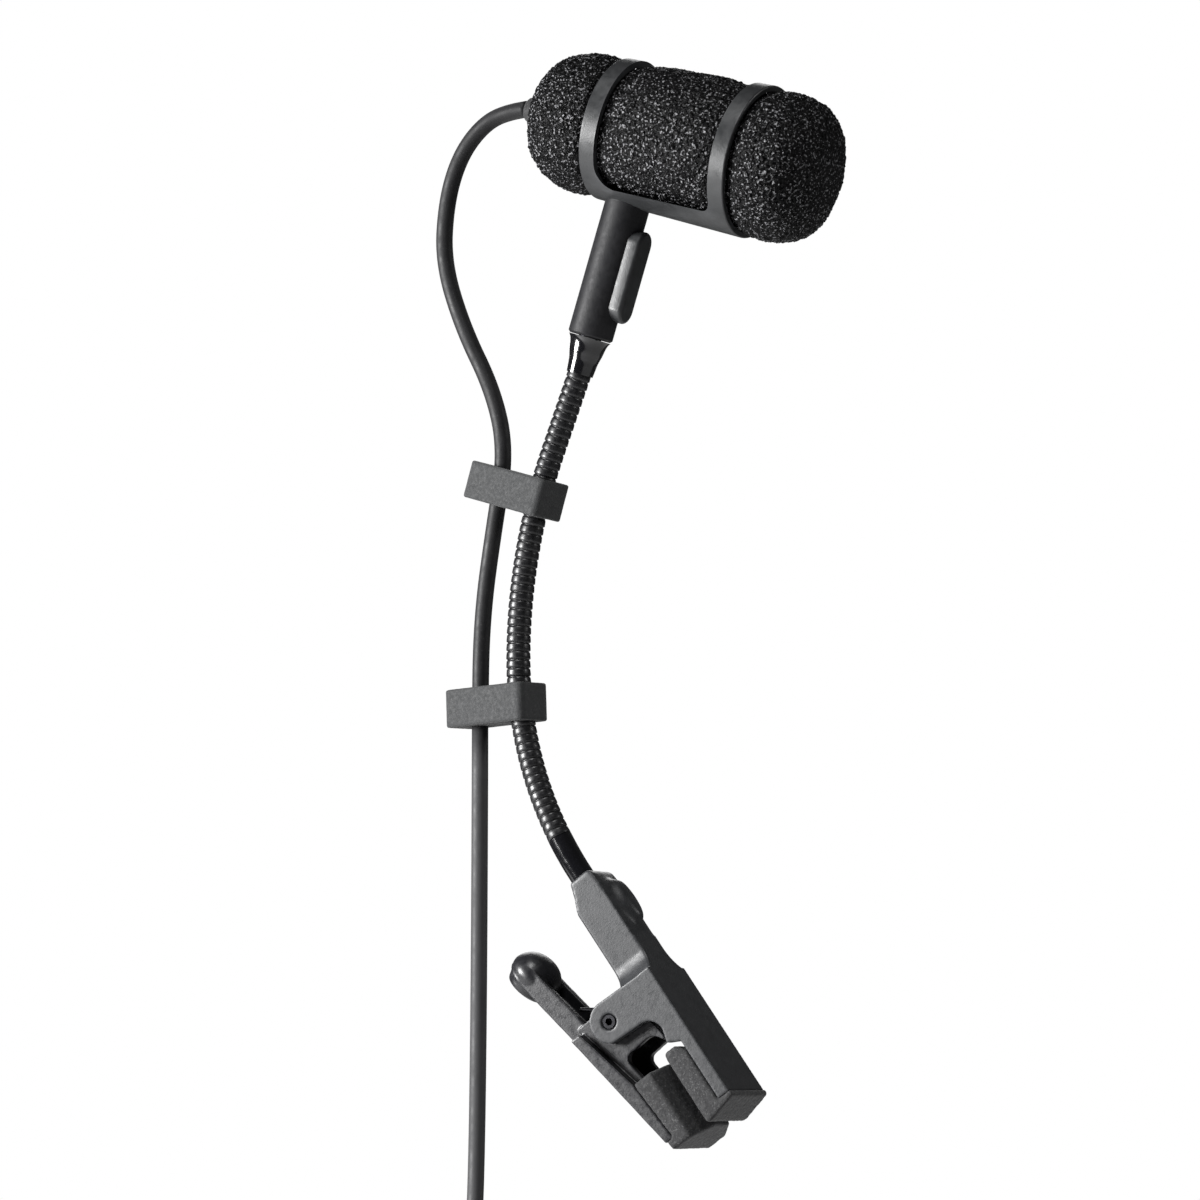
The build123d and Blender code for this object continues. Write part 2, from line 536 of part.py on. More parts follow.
def cage_radius(x):
    """The cage's outer radius at a distance forward of the rear ring."""
    return REAR_RING_RADIUS + CONE * x


REAR_EDGE, FRONT_EDGE = -RING_WIDTH / 2, RING_SPACING + RING_WIDTH / 2
WINDOW_REAR, WINDOW_FRONT = RING_WIDTH / 2, RING_SPACING - RING_WIDTH / 2
WINDOW_FLOOR = -cage_radius(RING_SPACING / 2) * cos(radians(RIB_HALF_ANGLE))

with BuildPart() as cage:
    with BuildSketch(HEAD):
        Polygon(
            (REAR_EDGE, cage_radius(REAR_EDGE)), (FRONT_EDGE, cage_radius(FRONT_EDGE)),
            (FRONT_EDGE, cage_radius(FRONT_EDGE) - RING_WALL), (REAR_EDGE, cage_radius(REAR_EDGE) - RING_WALL),
            align=None,
        )
    revolve(axis=HEAD_AXIS, revolution_arc=360)
    fillet(cage.edges().filter_by(GeomType.CIRCLE), 0.3)
    with BuildSketch(HEAD):
        with BuildLine():
            Polyline(
                (WINDOW_REAR, WINDOW_FLOOR + REAR_CORNER), (WINDOW_REAR, 30), (WINDOW_FRONT, 30),
                (WINDOW_FRONT, WINDOW_FLOOR + FRONT_CORNER),
            )
            RadiusArc(
                (WINDOW_FRONT, WINDOW_FLOOR + FRONT_CORNER), (WINDOW_FRONT - FRONT_CORNER, WINDOW_FLOOR), FRONT_CORNER
            )
            Line((WINDOW_FRONT - FRONT_CORNER, WINDOW_FLOOR), (WINDOW_REAR + REAR_CORNER, WINDOW_FLOOR))
            RadiusArc(
                (WINDOW_REAR + REAR_CORNER, WINDOW_FLOOR), (WINDOW_REAR, WINDOW_FLOOR + REAR_CORNER), REAR_CORNER
            )
        make_face()
    extrude(amount=20, both=True, mode=Mode.SUBTRACT)

with BuildPart() as cage_bore:
    with BuildSketch(HEAD):
        Polygon(
            (REAR_EDGE - 5, 0), (FRONT_EDGE, 0), (FRONT_EDGE, cage_radius(FRONT_EDGE) - RING_WALL / 2),
            (REAR_EDGE - 5, cage_radius(REAR_EDGE - 5) - RING_WALL / 2), align=None,
        )
    revolve(axis=HEAD_AXIS, revolution_arc=360)

# the sleeve ends in the cage's wall
with BuildPart() as trimmed_sleeve:
    add(holder_sleeve.part)
    add(cage_bore.part, mode=Mode.SUBTRACT)
    add(cage.part, mode=Mode.SUBTRACT)
save(trimmed_sleeve, "holder_sleeve")
save(sleeve_grip_bar, "sleeve_grip_bar")
save(cage, "cage")

# ======================================================================= microphone
FOAM_FIT = 0.1
REAR_EDGE_BORE = cage_radius(REAR_EDGE) - RING_WALL - FOAM_FIT
FRONT_EDGE_BORE = cage_radius(FRONT_EDGE) - RING_WALL - FOAM_FIT
MIC_FRONT = MIC_REAR + MIC_LENGTH
TUBE_WALL = 0.6
GRILLE_LENGTH = 6.0
CAP_LENGTH = 2.5


def turned(profile):
    """A solid of revolution about the microphone's axis, from (forward, radius) corners."""
    with BuildPart() as solid:
        with BuildSketch(HEAD):
            Polygon(*profile, align=None)
        revolve(axis=HEAD_AXIS, revolution_arc=360)
    return solid.part


with BuildPart() as foam_windscreen:
    with BuildSketch(HEAD):
        with BuildLine():
            Line((FOAM_REAR, BOOT_RADIUS + 0.1), (FOAM_REAR, 3.5))
            Spline(
                (FOAM_REAR, 3.5), (-15.0, 9.8), (-11.5, 12.4), (-7.0, FOAM_RADIUS - 0.3), (REAR_EDGE - 0.3, REAR_EDGE_BORE),
                tangents=[(0.05, 1), (1, -0.35)],
            )
            Polyline((REAR_EDGE - 0.3, REAR_EDGE_BORE), (FRONT_EDGE + 0.3, FRONT_EDGE_BORE))
            Spline(
                (FRONT_EDGE + 0.3, FRONT_EDGE_BORE), (34.0, FOAM_RADIUS + 0.3), (39.0, 13.0), (42.4, 9.8), (FOAM_FRONT, 3.5),
                tangents=[(1, 0.35), (0.05, -1)],
            )
            Polyline(
                (FOAM_FRONT, 3.5), (FOAM_FRONT, 0), (MIC_FRONT, 0), (MIC_FRONT, MIC_RADIUS + 0.02),
                (MIC_REAR, MIC_RADIUS + 0.02), (MIC_REAR, BOOT_RADIUS + 0.1), (FOAM_REAR, BOOT_RADIUS + 0.1),
            )
        make_face()
    revolve(axis=HEAD_AXIS, revolution_arc=360)
save(foam_windscreen, "foam_windscreen")

TUBE_REAR = MIC_REAR + CAP_LENGTH
TUBE_FRONT = MIC_FRONT - GRILLE_LENGTH
with BuildPart() as mic_housing:
    add(turned([
        (TUBE_REAR, MIC_RADIUS - TUBE_WALL), (TUBE_REAR, MIC_RADIUS), (TUBE_FRONT, MIC_RADIUS),
        (TUBE_FRONT, MIC_RADIUS - TUBE_WALL),
    ]))
save(mic_housing, "mic_housing")

with BuildPart() as front_grille:
    add(turned([
        (TUBE_FRONT, MIC_RADIUS), (MIC_FRONT - 1.0, MIC_RADIUS), (MIC_FRONT, MIC_RADIUS - 1.0), (MIC_FRONT, 0),
        (MIC_FRONT - 0.8, 0), (MIC_FRONT - 0.8, MIC_RADIUS - TUBE_WALL - 0.6), (TUBE_FRONT, MIC_RADIUS - TUBE_WALL),
    ]))
    with BuildSketch(Plane(origin=HEAD.from_local_coords((MIC_FRONT + 0.1, 0, 0)), x_dir=(0, 1, 0), z_dir=HEAD.x_dir)):
        with HexLocations(1.25, 5, 5):
            Circle(0.42)
    extrude(amount=-1.2, mode=Mode.SUBTRACT)
    with BuildSketch(HEAD):
        with Locations((TUBE_FRONT + 2.9, 0)):
            SlotOverall(3.6, 0.9)
    slot_block = extrude(amount=MIC_RADIUS + 1, mode=Mode.PRIVATE)
    for turn in range(0, 360, 30):
        add(slot_block.rotate(HEAD_AXIS, turn), mode=Mode.SUBTRACT)
save(front_grille, "front_grille")

CAPSULE_FRONT = TUBE_FRONT + 0.6
CAPSULE_LENGTH = 4.5
BORE = MIC_RADIUS - TUBE_WALL
with BuildPart() as capsule:
    add(turned([
        (CAPSULE_FRONT - CAPSULE_LENGTH, 0), (CAPSULE_FRONT - CAPSULE_LENGTH, 4.6), (CAPSULE_FRONT - 0.4, 4.6),
        (CAPSULE_FRONT, 4.2), (CAPSULE_FRONT, 2.6), (CAPSULE_FRONT - 0.4, 2.6), (CAPSULE_FRONT - 0.4, 0),
    ]))
save(capsule, "capsule")

with BuildPart() as capsule_gasket:
    add(turned([
        (CAPSULE_FRONT - CAPSULE_LENGTH + 0.4, 4.6), (CAPSULE_FRONT - CAPSULE_LENGTH + 0.4, BORE - 0.02),
        (CAPSULE_FRONT - 1.4, BORE - 0.02), (CAPSULE_FRONT - 1.4, 4.6),
    ]))
save(capsule_gasket, "capsule_gasket")

BOARD_LENGTH, BOARD_WIDTH, BOARD_THICKNESS = 19.0, 9.4, 1.0
BOARD_REAR = TUBE_REAR + 1.2
with BuildPart() as circuit_board:
    with BuildSketch(HEAD):
        with Locations((BOARD_REAR + BOARD_LENGTH / 2, 0)):
            Rectangle(BOARD_LENGTH, BOARD_THICKNESS)
        with Locations((BOARD_REAR + 5.0, 1.3)):
            Rectangle(4.0, 1.7)
        with Locations((BOARD_REAR + 12.5, 1.1)):
            Rectangle(3.0, 1.3)
    extrude(amount=2.0, both=True)
    with BuildSketch(HEAD):
        with Locations((BOARD_REAR + BOARD_LENGTH / 2, 0)):
            Rectangle(BOARD_LENGTH, BOARD_THICKNESS)
    extrude(amount=BOARD_WIDTH / 2, both=True)
save(circuit_board, "circuit_board")

with BuildPart() as end_cap:
    add(turned([
        (MIC_REAR, BOOT_RADIUS - 0.4), (MIC_REAR, MIC_RADIUS - 0.6), (MIC_REAR + 0.6, MIC_RADIUS), (TUBE_REAR, MIC_RADIUS),
        (TUBE_REAR, BORE - 0.02), (TUBE_REAR + 1.0, BORE - 0.02), (TUBE_REAR + 1.0, BOOT_RADIUS - 0.4),
    ]))
save(end_cap, "end_cap")

BOOT_END = MIC_REAR - BOOT_LENGTH
with BuildPart() as strain_relief:
    add(turned([
        (BOOT_END, LEAD_RADIUS), (BOOT_END, BOOT_RADIUS - 0.25), (BOOT_END + 0.25, BOOT_RADIUS), (MIC_REAR, BOOT_RADIUS),
        (MIC_REAR, BOOT_RADIUS - 0.42), (TUBE_REAR + 1.0, BOOT_RADIUS - 0.42), (TUBE_REAR + 1.0, LEAD_RADIUS - 0.6),
        (MIC_REAR, LEAD_RADIUS - 0.6), (MIC_REAR, 0), (MIC_REAR - 0.8, 0), (MIC_REAR - 0.8, LEAD_RADIUS),
    ]))
save(strain_relief, "strain_relief")

# ======================================================================= lead
ARC_SHARE = 0.45  # of the shorter run, used up by a corner's arc on each side


def lead_tube(points, label):
    """A tube along straight runs and tangent arcs; prints its radii and compares volume with length."""
    runs = [(b - a).length for a, b in zip(points, points[1:])]
    turns = [radians((b - a).get_angle(c - b)) for a, b, c in zip(points, points[1:], points[2:])]
    radii = [ARC_SHARE * min(pair) / tan(turn / 2) for pair, turn in zip(zip(runs, runs[1:]), turns)]
    with BuildPart() as tube:
        with BuildLine() as route:
            if radii:
                FilletPolyline(*points, radius=radii)
            else:
                Line(*points)
        with BuildSketch(across(route.line @ 0, route.line % 0)):
            Circle(LEAD_RADIUS)
        sweep(path=route.line)
    length = sum(edge.length for edge in route.edges())
    print(label, "length", round(length, 1), "radii", [round(r, 1) for r in radii],
          "volume/section*length", round(tube.part.volume / (pi * LEAD_RADIUS**2 * length), 4))
    return tube.part, length


UPPER_HOLE, UPPER_UP, UPPER_TO_LEAD = cable_clip_frame(UPPER_CLIP_Z, UPPER_CLIP_LEAN)
UPPER_LEAD = UPPER_HOLE + UPPER_TO_LEAD * CLIP_PITCH
LOWER_HOLE, LOWER_UP, LOWER_TO_LEAD = cable_clip_frame(LOWER_CLIP_Z, LOWER_CLIP_LEAN)
LOWER_LEAD = LOWER_HOLE + LOWER_TO_LEAD * CLIP_PITCH
print("lead at the clips, from the pin", UPPER_LEAD - PIN, LOWER_LEAD - PIN)
EXIT = HEAD.from_local_coords((BOOT_END - GAP, 0, 0))
BELOW_UPPER = UPPER_LEAD - UPPER_UP * (CLIP_HEIGHT / 2 + 0.6)
HALF_BLOCK = CLIP_HEIGHT / 2

lead_top_points = [
    EXIT, from_pin(-26.3, 173.1, 0.1), from_pin(-31.6, 170.3, 0.3), from_pin(-36.1, 164.8, 0.6),
    from_pin(-38.9, 156.6, 1.0), from_pin(-39.8, 145.4, 1.5), from_pin(-35.7, 132.4, 2.0),
    from_pin(-29.5, 120.2, 2.5), from_pin(-26.9, 108.6, 2.9), BELOW_UPPER,
]
lead_clipped_points = [
    BELOW_UPPER - UPPER_UP * GAP, from_pin(-30.4, 88.5, 3.1), from_pin(-31.9, 77.5, 3.2),
    LOWER_LEAD + Vector(0, 0, 6.0), LOWER_LEAD - LOWER_UP * HALF_BLOCK,
]
SWING = LOWER_LEAD - Vector(0, 0, HALF_BLOCK + LEAD_RADIUS + 2 * GAP)  # the hanging lead turns here
HANK_OUTER_FOLD = HANK_FOLD + 2 * LEAD_RADIUS * (HANK_LAYERS - 1)
HANK_RADIUS = HANK_OUTER_FOLD + LEAD_RADIUS + 0.2
HANK_CENTRE = Vector(SWING.X + HANK_OUTER_FOLD, SWING.Y, PIN.Z + HANK_TOP - HANK_RADIUS - HANK_RUN / 2)
COLUMN_PITCH = 2 * LEAD_RADIUS
FIRST_COLUMN_Y = SWING.Y - COLUMN_PITCH * (HANK_COLUMNS - 1) / 2
RUN_TOP = HANK_CENTRE.Z + HANK_RUN / 2
RUN_BOTTOM = HANK_CENTRE.Z - HANK_RUN / 2
lead_hanging_points = [
    SWING, Vector(SWING.X, SWING.Y, RUN_TOP + 24), Vector(SWING.X, FIRST_COLUMN_Y, RUN_TOP + 8),
    Vector(SWING.X, FIRST_COLUMN_Y + 0.01, RUN_TOP),
]

lead_solids = {}
lead_lengths = []
for name, points in (
    ("lead_top", lead_top_points), ("lead_clipped", lead_clipped_points), ("lead_hanging", lead_hanging_points)
):
    solid, length = lead_tube(points, name)
    lead_solids[name] = solid
    lead_lengths.append(length)
    with BuildPart() as lead_piece:
        add(solid)
        if name == "lead_hanging":
            with Locations(SWING):
                Sphere(LEAD_RADIUS)
    save(lead_piece, name)

# the cable clips, each hole following what it holds
with BuildPart() as upper_cable_clip:
    add(cable_clip(UPPER_CLIP_Z, UPPER_CLIP_LEAN))
    add(neck_piece(UPPER_CLIP_LEAN - 4, UPPER_CLIP_LEAN + 4), mode=Mode.SUBTRACT)
    add(lead_solids["lead_top"], mode=Mode.SUBTRACT)
save(upper_cable_clip, "upper_cable_clip")

with BuildPart() as lower_cable_clip:
    add(cable_clip(LOWER_CLIP_Z, LOWER_CLIP_LEAN))
    add(neck_piece(neck_tilt(LOWER_CLIP_Z) - 6, neck_tilt(LOWER_CLIP_Z) + 5), mode=Mode.SUBTRACT)
    add(lead_solids["lead_clipped"], mode=Mode.SUBTRACT)
save(lower_cable_clip, "lower_cable_clip")

# the put-away hank: upright turns in columns, two deep, and the last run down outside them
LAST_RUN_X = SWING.X - 2 * LEAD_RADIUS
LAST_COLUMN_Y = FIRST_COLUMN_Y + COLUMN_PITCH * (HANK_COLUMNS - 1)
HANK_HALF_DEPTH = COLUMN_PITCH * HANK_COLUMNS / 2 + 0.2
with BuildPart() as lead_hank:
    with BuildSketch(Plane(origin=HANK_CENTRE, x_dir=(0, 0, 1), z_dir=(0, -1, 0))):
        SlotCenterToCenter(HANK_RUN, 2 * HANK_RADIUS)
        SlotCenterToCenter(HANK_RUN, 2 * (HANK_FOLD - LEAD_RADIUS - 0.2), mode=Mode.SUBTRACT)
    extrude(amount=HANK_HALF_DEPTH, both=True)
    with BuildSketch(Plane(origin=(LAST_RUN_X, LAST_COLUMN_Y, RUN_BOTTOM))):
        with Locations((0.8, 0)):
            Rectangle(2 * LEAD_RADIUS + 2.0, 2 * LEAD_RADIUS + 0.4)
    extrude(amount=HANK_RUN)
save(lead_hank, "lead_hank")

TIE_THICKNESS, TIE_WIDTH = 1.2, 8.0
with BuildPart() as hank_tie:
    with BuildSketch(Plane(origin=HANK_CENTRE)):
        with Locations((-LEAD_RADIUS, 0)):
            RectangleRounded(
                2 * (HANK_RADIUS + LEAD_RADIUS + TIE_THICKNESS) + 0.4, 2 * (HANK_HALF_DEPTH + TIE_THICKNESS), 2.0
            )
            Rectangle(2 * (HANK_RADIUS + LEAD_RADIUS) + 0.4, 2 * HANK_HALF_DEPTH, mode=Mode.SUBTRACT)
    extrude(amount=TIE_WIDTH / 2, both=True)
save(hank_tie, "hank_tie")

TAIL_TOP = Vector(LAST_RUN_X, LAST_COLUMN_Y, RUN_BOTTOM)
TAIL_END = TAIL_TOP - Vector(0, 0, TAIL_DROP)
with BuildPart() as lead_tail:
    solid, tail_length = lead_tube([TAIL_TOP, TAIL_END], "lead_tail")
    add(solid)
save(lead_tail, "lead_tail")

turns = HANK_COLUMNS * (2 * pi * (HANK_FOLD + HANK_OUTER_FOLD) + 4 * HANK_RUN) + HANK_RUN
print("lead in all", round(sum(lead_lengths) + turns + tail_length, 1), "of", LEAD_TOTAL)

# ======================================================================= connector on the lead's end
CONNECTOR_BOOT = 15.0
SHELL_WALL = 0.7
INSERT_RADIUS = CONNECTOR_RADIUS - SHELL_WALL
CONTACT_CIRCLE = 2.2
SHELL_TOP = TAIL_END.Z - CONNECTOR_BOOT
NOSE = SHELL_TOP - CONNECTOR_LENGTH
CONNECTOR = side_plane(Vector(TAIL_END.X, 0, 0), 0, TAIL_END.Y)  # sketch X from the connector's axis, sketch Y is Z
CONNECTOR_AXIS = Axis((TAIL_END.X, TAIL_END.Y, 0), (0, 0, 1))


def connector_turned(profile):
    """A solid of revolution about the connector's axis, from (radius, height) corners."""
    with BuildPart() as solid:
        with BuildSketch(CONNECTOR):
            Polygon(*profile, align=None)
        revolve(axis=CONNECTOR_AXIS, revolution_arc=360)
    return solid.part


with BuildPart() as connector_boot:
    add(connector_turned([
        (0, TAIL_END.Z), (LEAD_RADIUS + 0.7, TAIL_END.Z), (LEAD_RADIUS + 1.0, TAIL_END.Z - 0.4),
        (CONNECTOR_RADIUS - 0.6, SHELL_TOP + 2.0), (CONNECTOR_RADIUS - 0.6, SHELL_TOP),
        (INSERT_RADIUS - 0.1, SHELL_TOP), (INSERT_RADIUS - 0.1, SHELL_TOP - 3.0), (0, SHELL_TOP - 3.0),
    ]))
    for step in range(4):
        add(
            connector_turned([
                (LEAD_RADIUS + 0.5 + 0.45 * step, TAIL_END.Z - 2.6 - 2.6 * step),
                (CONNECTOR_RADIUS + 1, TAIL_END.Z - 2.6 - 2.6 * step),
                (CONNECTOR_RADIUS + 1, TAIL_END.Z - 3.6 - 2.6 * step),
                (LEAD_RADIUS + 0.5 + 0.45 * step, TAIL_END.Z - 3.6 - 2.6 * step),
            ]),
            mode=Mode.SUBTRACT,
        )
save(connector_boot, "connector_boot")

LATCH_TOP, LATCH_LENGTH, LATCH_WIDTH = SHELL_TOP - 3.5, 9.0, 3.6
LATCH_SEAT = Plane(
    origin=(TAIL_END.X, TAIL_END.Y - CONNECTOR_RADIUS + 1.6, LATCH_TOP - LATCH_LENGTH / 2), x_dir=(0, 0, 1), z_dir=(0, -1, 0)
)
with BuildPart() as connector_shell:
    add(connector_turned([
        (INSERT_RADIUS, SHELL_TOP), (CONNECTOR_RADIUS - 0.5, SHELL_TOP), (CONNECTOR_RADIUS, SHELL_TOP - 0.5),
        (CONNECTOR_RADIUS, NOSE + 0.3), (CONNECTOR_RADIUS - 0.3, NOSE), (INSERT_RADIUS, NOSE),
    ]))
    with BuildSketch(LATCH_SEAT):
        SlotOverall(LATCH_LENGTH + 0.4, LATCH_WIDTH + 0.4)
    extrude(amount=6.0, mode=Mode.SUBTRACT)
save(connector_shell, "connector_shell")

with BuildPart() as connector_insert:
    with BuildSketch(Plane.XY.offset(NOSE + 0.6).move(Location((TAIL_END.X, TAIL_END.Y, 0)))):
        Circle(INSERT_RADIUS - 0.02)
        with PolarLocations(CONTACT_CIRCLE, 3):
            Circle(0.62, mode=Mode.SUBTRACT)
    extrude(amount=10.0)
save(connector_insert, "connector_insert")

with BuildPart() as connector_contacts:
    with BuildSketch(Plane.XY.offset(NOSE + 1.2).move(Location((TAIL_END.X, TAIL_END.Y, 0)))):
        with PolarLocations(CONTACT_CIRCLE, 3):
                Circle(0.6)
    extrude(amount=11.0)
save(connector_contacts, "connector_contacts")

with BuildPart() as connector_latch:
    with BuildSketch(LATCH_SEAT):
        SlotOverall(LATCH_LENGTH, LATCH_WIDTH)
    extrude(amount=1.3)  # its flat top lies within the shell's circle, so a socket's barrel passes over it
    fillet(connector_latch.faces().sort_by(Axis.Y)[0].edges(), 0.35)
save(connector_latch, "connector_latch")
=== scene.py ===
"""Clip-on instrument microphone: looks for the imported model. Metres, in the model's own frame."""

import json
import math

import bmesh
import bpy
import numpy as np
from mathutils import Matrix, Vector, noise


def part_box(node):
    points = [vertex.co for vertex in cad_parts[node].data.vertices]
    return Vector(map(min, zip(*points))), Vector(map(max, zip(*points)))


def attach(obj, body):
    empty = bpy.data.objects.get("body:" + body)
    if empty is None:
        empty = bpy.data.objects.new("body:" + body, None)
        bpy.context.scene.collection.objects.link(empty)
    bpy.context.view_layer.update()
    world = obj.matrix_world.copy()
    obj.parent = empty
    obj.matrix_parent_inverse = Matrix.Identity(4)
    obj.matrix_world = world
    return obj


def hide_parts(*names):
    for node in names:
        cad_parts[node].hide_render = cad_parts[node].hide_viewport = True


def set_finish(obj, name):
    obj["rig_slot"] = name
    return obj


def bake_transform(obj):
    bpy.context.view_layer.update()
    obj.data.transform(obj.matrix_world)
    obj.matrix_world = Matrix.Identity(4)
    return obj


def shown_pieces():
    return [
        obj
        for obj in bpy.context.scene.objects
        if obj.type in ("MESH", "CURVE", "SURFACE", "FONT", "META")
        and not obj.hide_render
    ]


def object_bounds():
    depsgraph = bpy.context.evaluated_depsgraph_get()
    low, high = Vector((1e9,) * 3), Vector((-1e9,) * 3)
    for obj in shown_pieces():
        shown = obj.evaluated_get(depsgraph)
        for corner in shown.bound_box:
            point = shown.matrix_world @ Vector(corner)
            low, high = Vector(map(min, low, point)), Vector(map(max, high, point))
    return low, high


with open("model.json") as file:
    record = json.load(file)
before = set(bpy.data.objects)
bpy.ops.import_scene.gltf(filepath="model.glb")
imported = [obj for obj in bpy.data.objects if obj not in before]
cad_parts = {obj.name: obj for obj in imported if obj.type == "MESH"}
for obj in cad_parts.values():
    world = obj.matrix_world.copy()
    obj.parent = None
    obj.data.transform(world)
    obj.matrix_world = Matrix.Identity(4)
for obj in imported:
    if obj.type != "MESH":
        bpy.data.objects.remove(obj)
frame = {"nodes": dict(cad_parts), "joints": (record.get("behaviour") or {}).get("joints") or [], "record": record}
CAD_LOW, CAD_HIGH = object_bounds()

MM = 0.001
JOINTS = {joint["name"]: joint for joint in frame["joints"]}
PIN = Vector(JOINTS["jaw_hinge"]["pos_m"])
SWING = Vector(JOINTS["lead_swing"]["pos_m"])
CLIP_ANGLE = math.radians(-54.4)
ALONG = Vector((math.cos(CLIP_ANGLE), 0, math.sin(CLIP_ANGLE)))
OUT = Vector((-math.sin(CLIP_ANGLE), 0, math.cos(CLIP_ANGLE)))


def from_pin(x, z, y=0.0):
    """A point given in millimetres from the hinge pin."""
    return Vector((PIN.x + x * MM, y * MM, PIN.z + z * MM))


# ------------------------------------------------------------------ camera
VIEW_CENTRE = from_pin(-4.5, 78.5, -2.2)
VIEW_DISTANCE = 0.9
VIEW_WIDTH = 0.224
VIEW_AZIMUTH, VIEW_ELEVATION = math.radians(26.0), math.radians(-5.5)
SENSOR = 36.0

camera_data = bpy.data.cameras.new("camera")
camera_data.sensor_width = SENSOR
camera_data.lens = SENSOR * VIEW_DISTANCE / VIEW_WIDTH
camera_data.clip_start, camera_data.clip_end = 0.05, 50.0
camera = bpy.data.objects.new("camera", camera_data)
bpy.context.scene.collection.objects.link(camera)
backwards = Vector((
    math.sin(VIEW_AZIMUTH) * math.cos(VIEW_ELEVATION),
    -math.cos(VIEW_AZIMUTH) * math.cos(VIEW_ELEVATION),
    math.sin(VIEW_ELEVATION),
))
camera.location = VIEW_CENTRE + backwards * VIEW_DISTANCE
camera.rotation_euler = (-backwards).to_track_quat("-Z", "Y").to_euler()
bpy.context.scene.camera = camera
bpy.context.view_layer.update()

# ------------------------------------------------------------------ the microphone's own directions
HEAD_TILT = math.radians(16.4)
HEAD_ORIGIN = from_pin(-0.9, 167.4)  # centre of the rear ring
FORWARD = Vector((math.cos(HEAD_TILT), 0, -math.sin(HEAD_TILT)))
HEAD_UP = Vector((math.sin(HEAD_TILT), 0, math.cos(HEAD_TILT)))
SIDE = Vector((0, 1, 0))
BOOT_END = -20.6  # the strain relief's rear face, forward of the rear ring

# ------------------------------------------------------------------ the gooseneck's centreline
NECK_START, NECK_START_TILT = (-9.6, 27.6), math.radians(35.6)
NECK_LOWER_ARC, NECK_UPPER_ARC, NECK_STRAIGHT = 70.0, 108.0, 15.5
NECK_END_TILT = math.radians(21.0)
NECK_RADIUS = 2.3
NECK_WAIST = (
    NECK_START[0] - NECK_LOWER_ARC * (1 - math.cos(NECK_START_TILT)),
    NECK_START[1] + NECK_LOWER_ARC * math.sin(NECK_START_TILT),
)
LOWER_LENGTH = NECK_LOWER_ARC * NECK_START_TILT
UPPER_LENGTH = NECK_UPPER_ARC * NECK_END_TILT


def neck_at(tilt):
    """The neck's centreline, in millimetres from the pin, where it leans tilt radians."""
    arc = NECK_LOWER_ARC if tilt < 0 else NECK_UPPER_ARC
    return NECK_WAIST[0] + arc * (1 - math.cos(tilt)), NECK_WAIST[1] + arc * math.sin(tilt)


def neck_tilt(z):
    """The neck's lean at a height in millimetres above the pin."""
    rise = z - NECK_WAIST[1]
    return math.asin(rise / (NECK_LOWER_ARC if rise < 0 else NECK_UPPER_ARC))


def neck_point(s):
    """Centreline point and direction at s millimetres from where the neck leaves the clip."""
    if s < LOWER_LENGTH:
        tilt = s / NECK_LOWER_ARC - NECK_START_TILT
    else:
        tilt = min((s - LOWER_LENGTH) / NECK_UPPER_ARC, NECK_END_TILT)
    x, z = neck_at(tilt)
    rest = max(s - LOWER_LENGTH - UPPER_LENGTH, 0.0)
    direction = Vector((math.sin(tilt), 0, math.cos(tilt)))
    return from_pin(x, z) + direction * rest * MM, direction


def neck_length_at(z):
    """How far along the neck a height above the pin is."""
    tilt = neck_tilt(z)
    if tilt < 0:
        return LOWER_LENGTH + NECK_LOWER_ARC * tilt
    return LOWER_LENGTH + NECK_UPPER_ARC * tilt


# ------------------------------------------------------------------ mesh helpers
def link(name, mesh):
    """A mesh object in the scene, smooth shaded."""
    piece = bpy.data.objects.new(name, mesh)
    bpy.context.scene.collection.objects.link(piece)
    mesh.polygons.foreach_set("use_smooth", [True] * len(mesh.polygons))
    return piece


def rings_to_mesh(name, rings, closed_ends=True):
    """A surface through equal rings of points, each ring closed, with a fan on each end if asked."""
    sides = len(rings[0])
    vertices = [tuple(point) for ring in rings for point in ring]
    faces = []
    for i in range(len(rings) - 1):
        for j in range(sides):
            k = (j + 1) % sides
            faces.append((i * sides + j, i * sides + k, (i + 1) * sides + k, (i + 1) * sides + j))
    if closed_ends:
        for ring, start, order in ((rings[0], 0, -1), (rings[-1], (len(rings) - 1) * sides, 1)):
            centre = sum((Vector(p) for p in ring), Vector()) / sides
            vertices.append(tuple(centre))
            for j in range(sides):
                pair = (start + j, start + (j + 1) % sides)
                faces.append((*pair[::order], len(vertices) - 1))
    mesh = bpy.data.meshes.new(name)
    mesh.from_pydata(vertices, [], faces)
    mesh.update()
    return link(name, mesh)


def ring_around(centre, direction, radius, sides, reference):
    """Points of a circle across direction, starting at reference."""
    first = (reference - direction * reference.dot(direction)).normalized()
    second = direction.cross(first)
    steps = [2 * math.pi * j / sides for j in range(sides)]
    return [centre + (first * math.cos(a) + second * math.sin(a)) * radius for a in steps]


def tube_along(name, points, radius, sides=18):
    """A round tube that follows points, its rings carried along without twist."""
    points = [Vector(p) for p in points]
    rings = []
    reference = SIDE
    for i, point in enumerate(points):
        before, after = points[max(i - 1, 0)], points[min(i + 1, len(points) - 1)]
        direction = (after - before).normalized()
        reference = (reference - direction * reference.dot(direction)).normalized()
        rings.append(ring_around(point, direction, radius, sides, reference))
    return rings_to_mesh(name, rings)


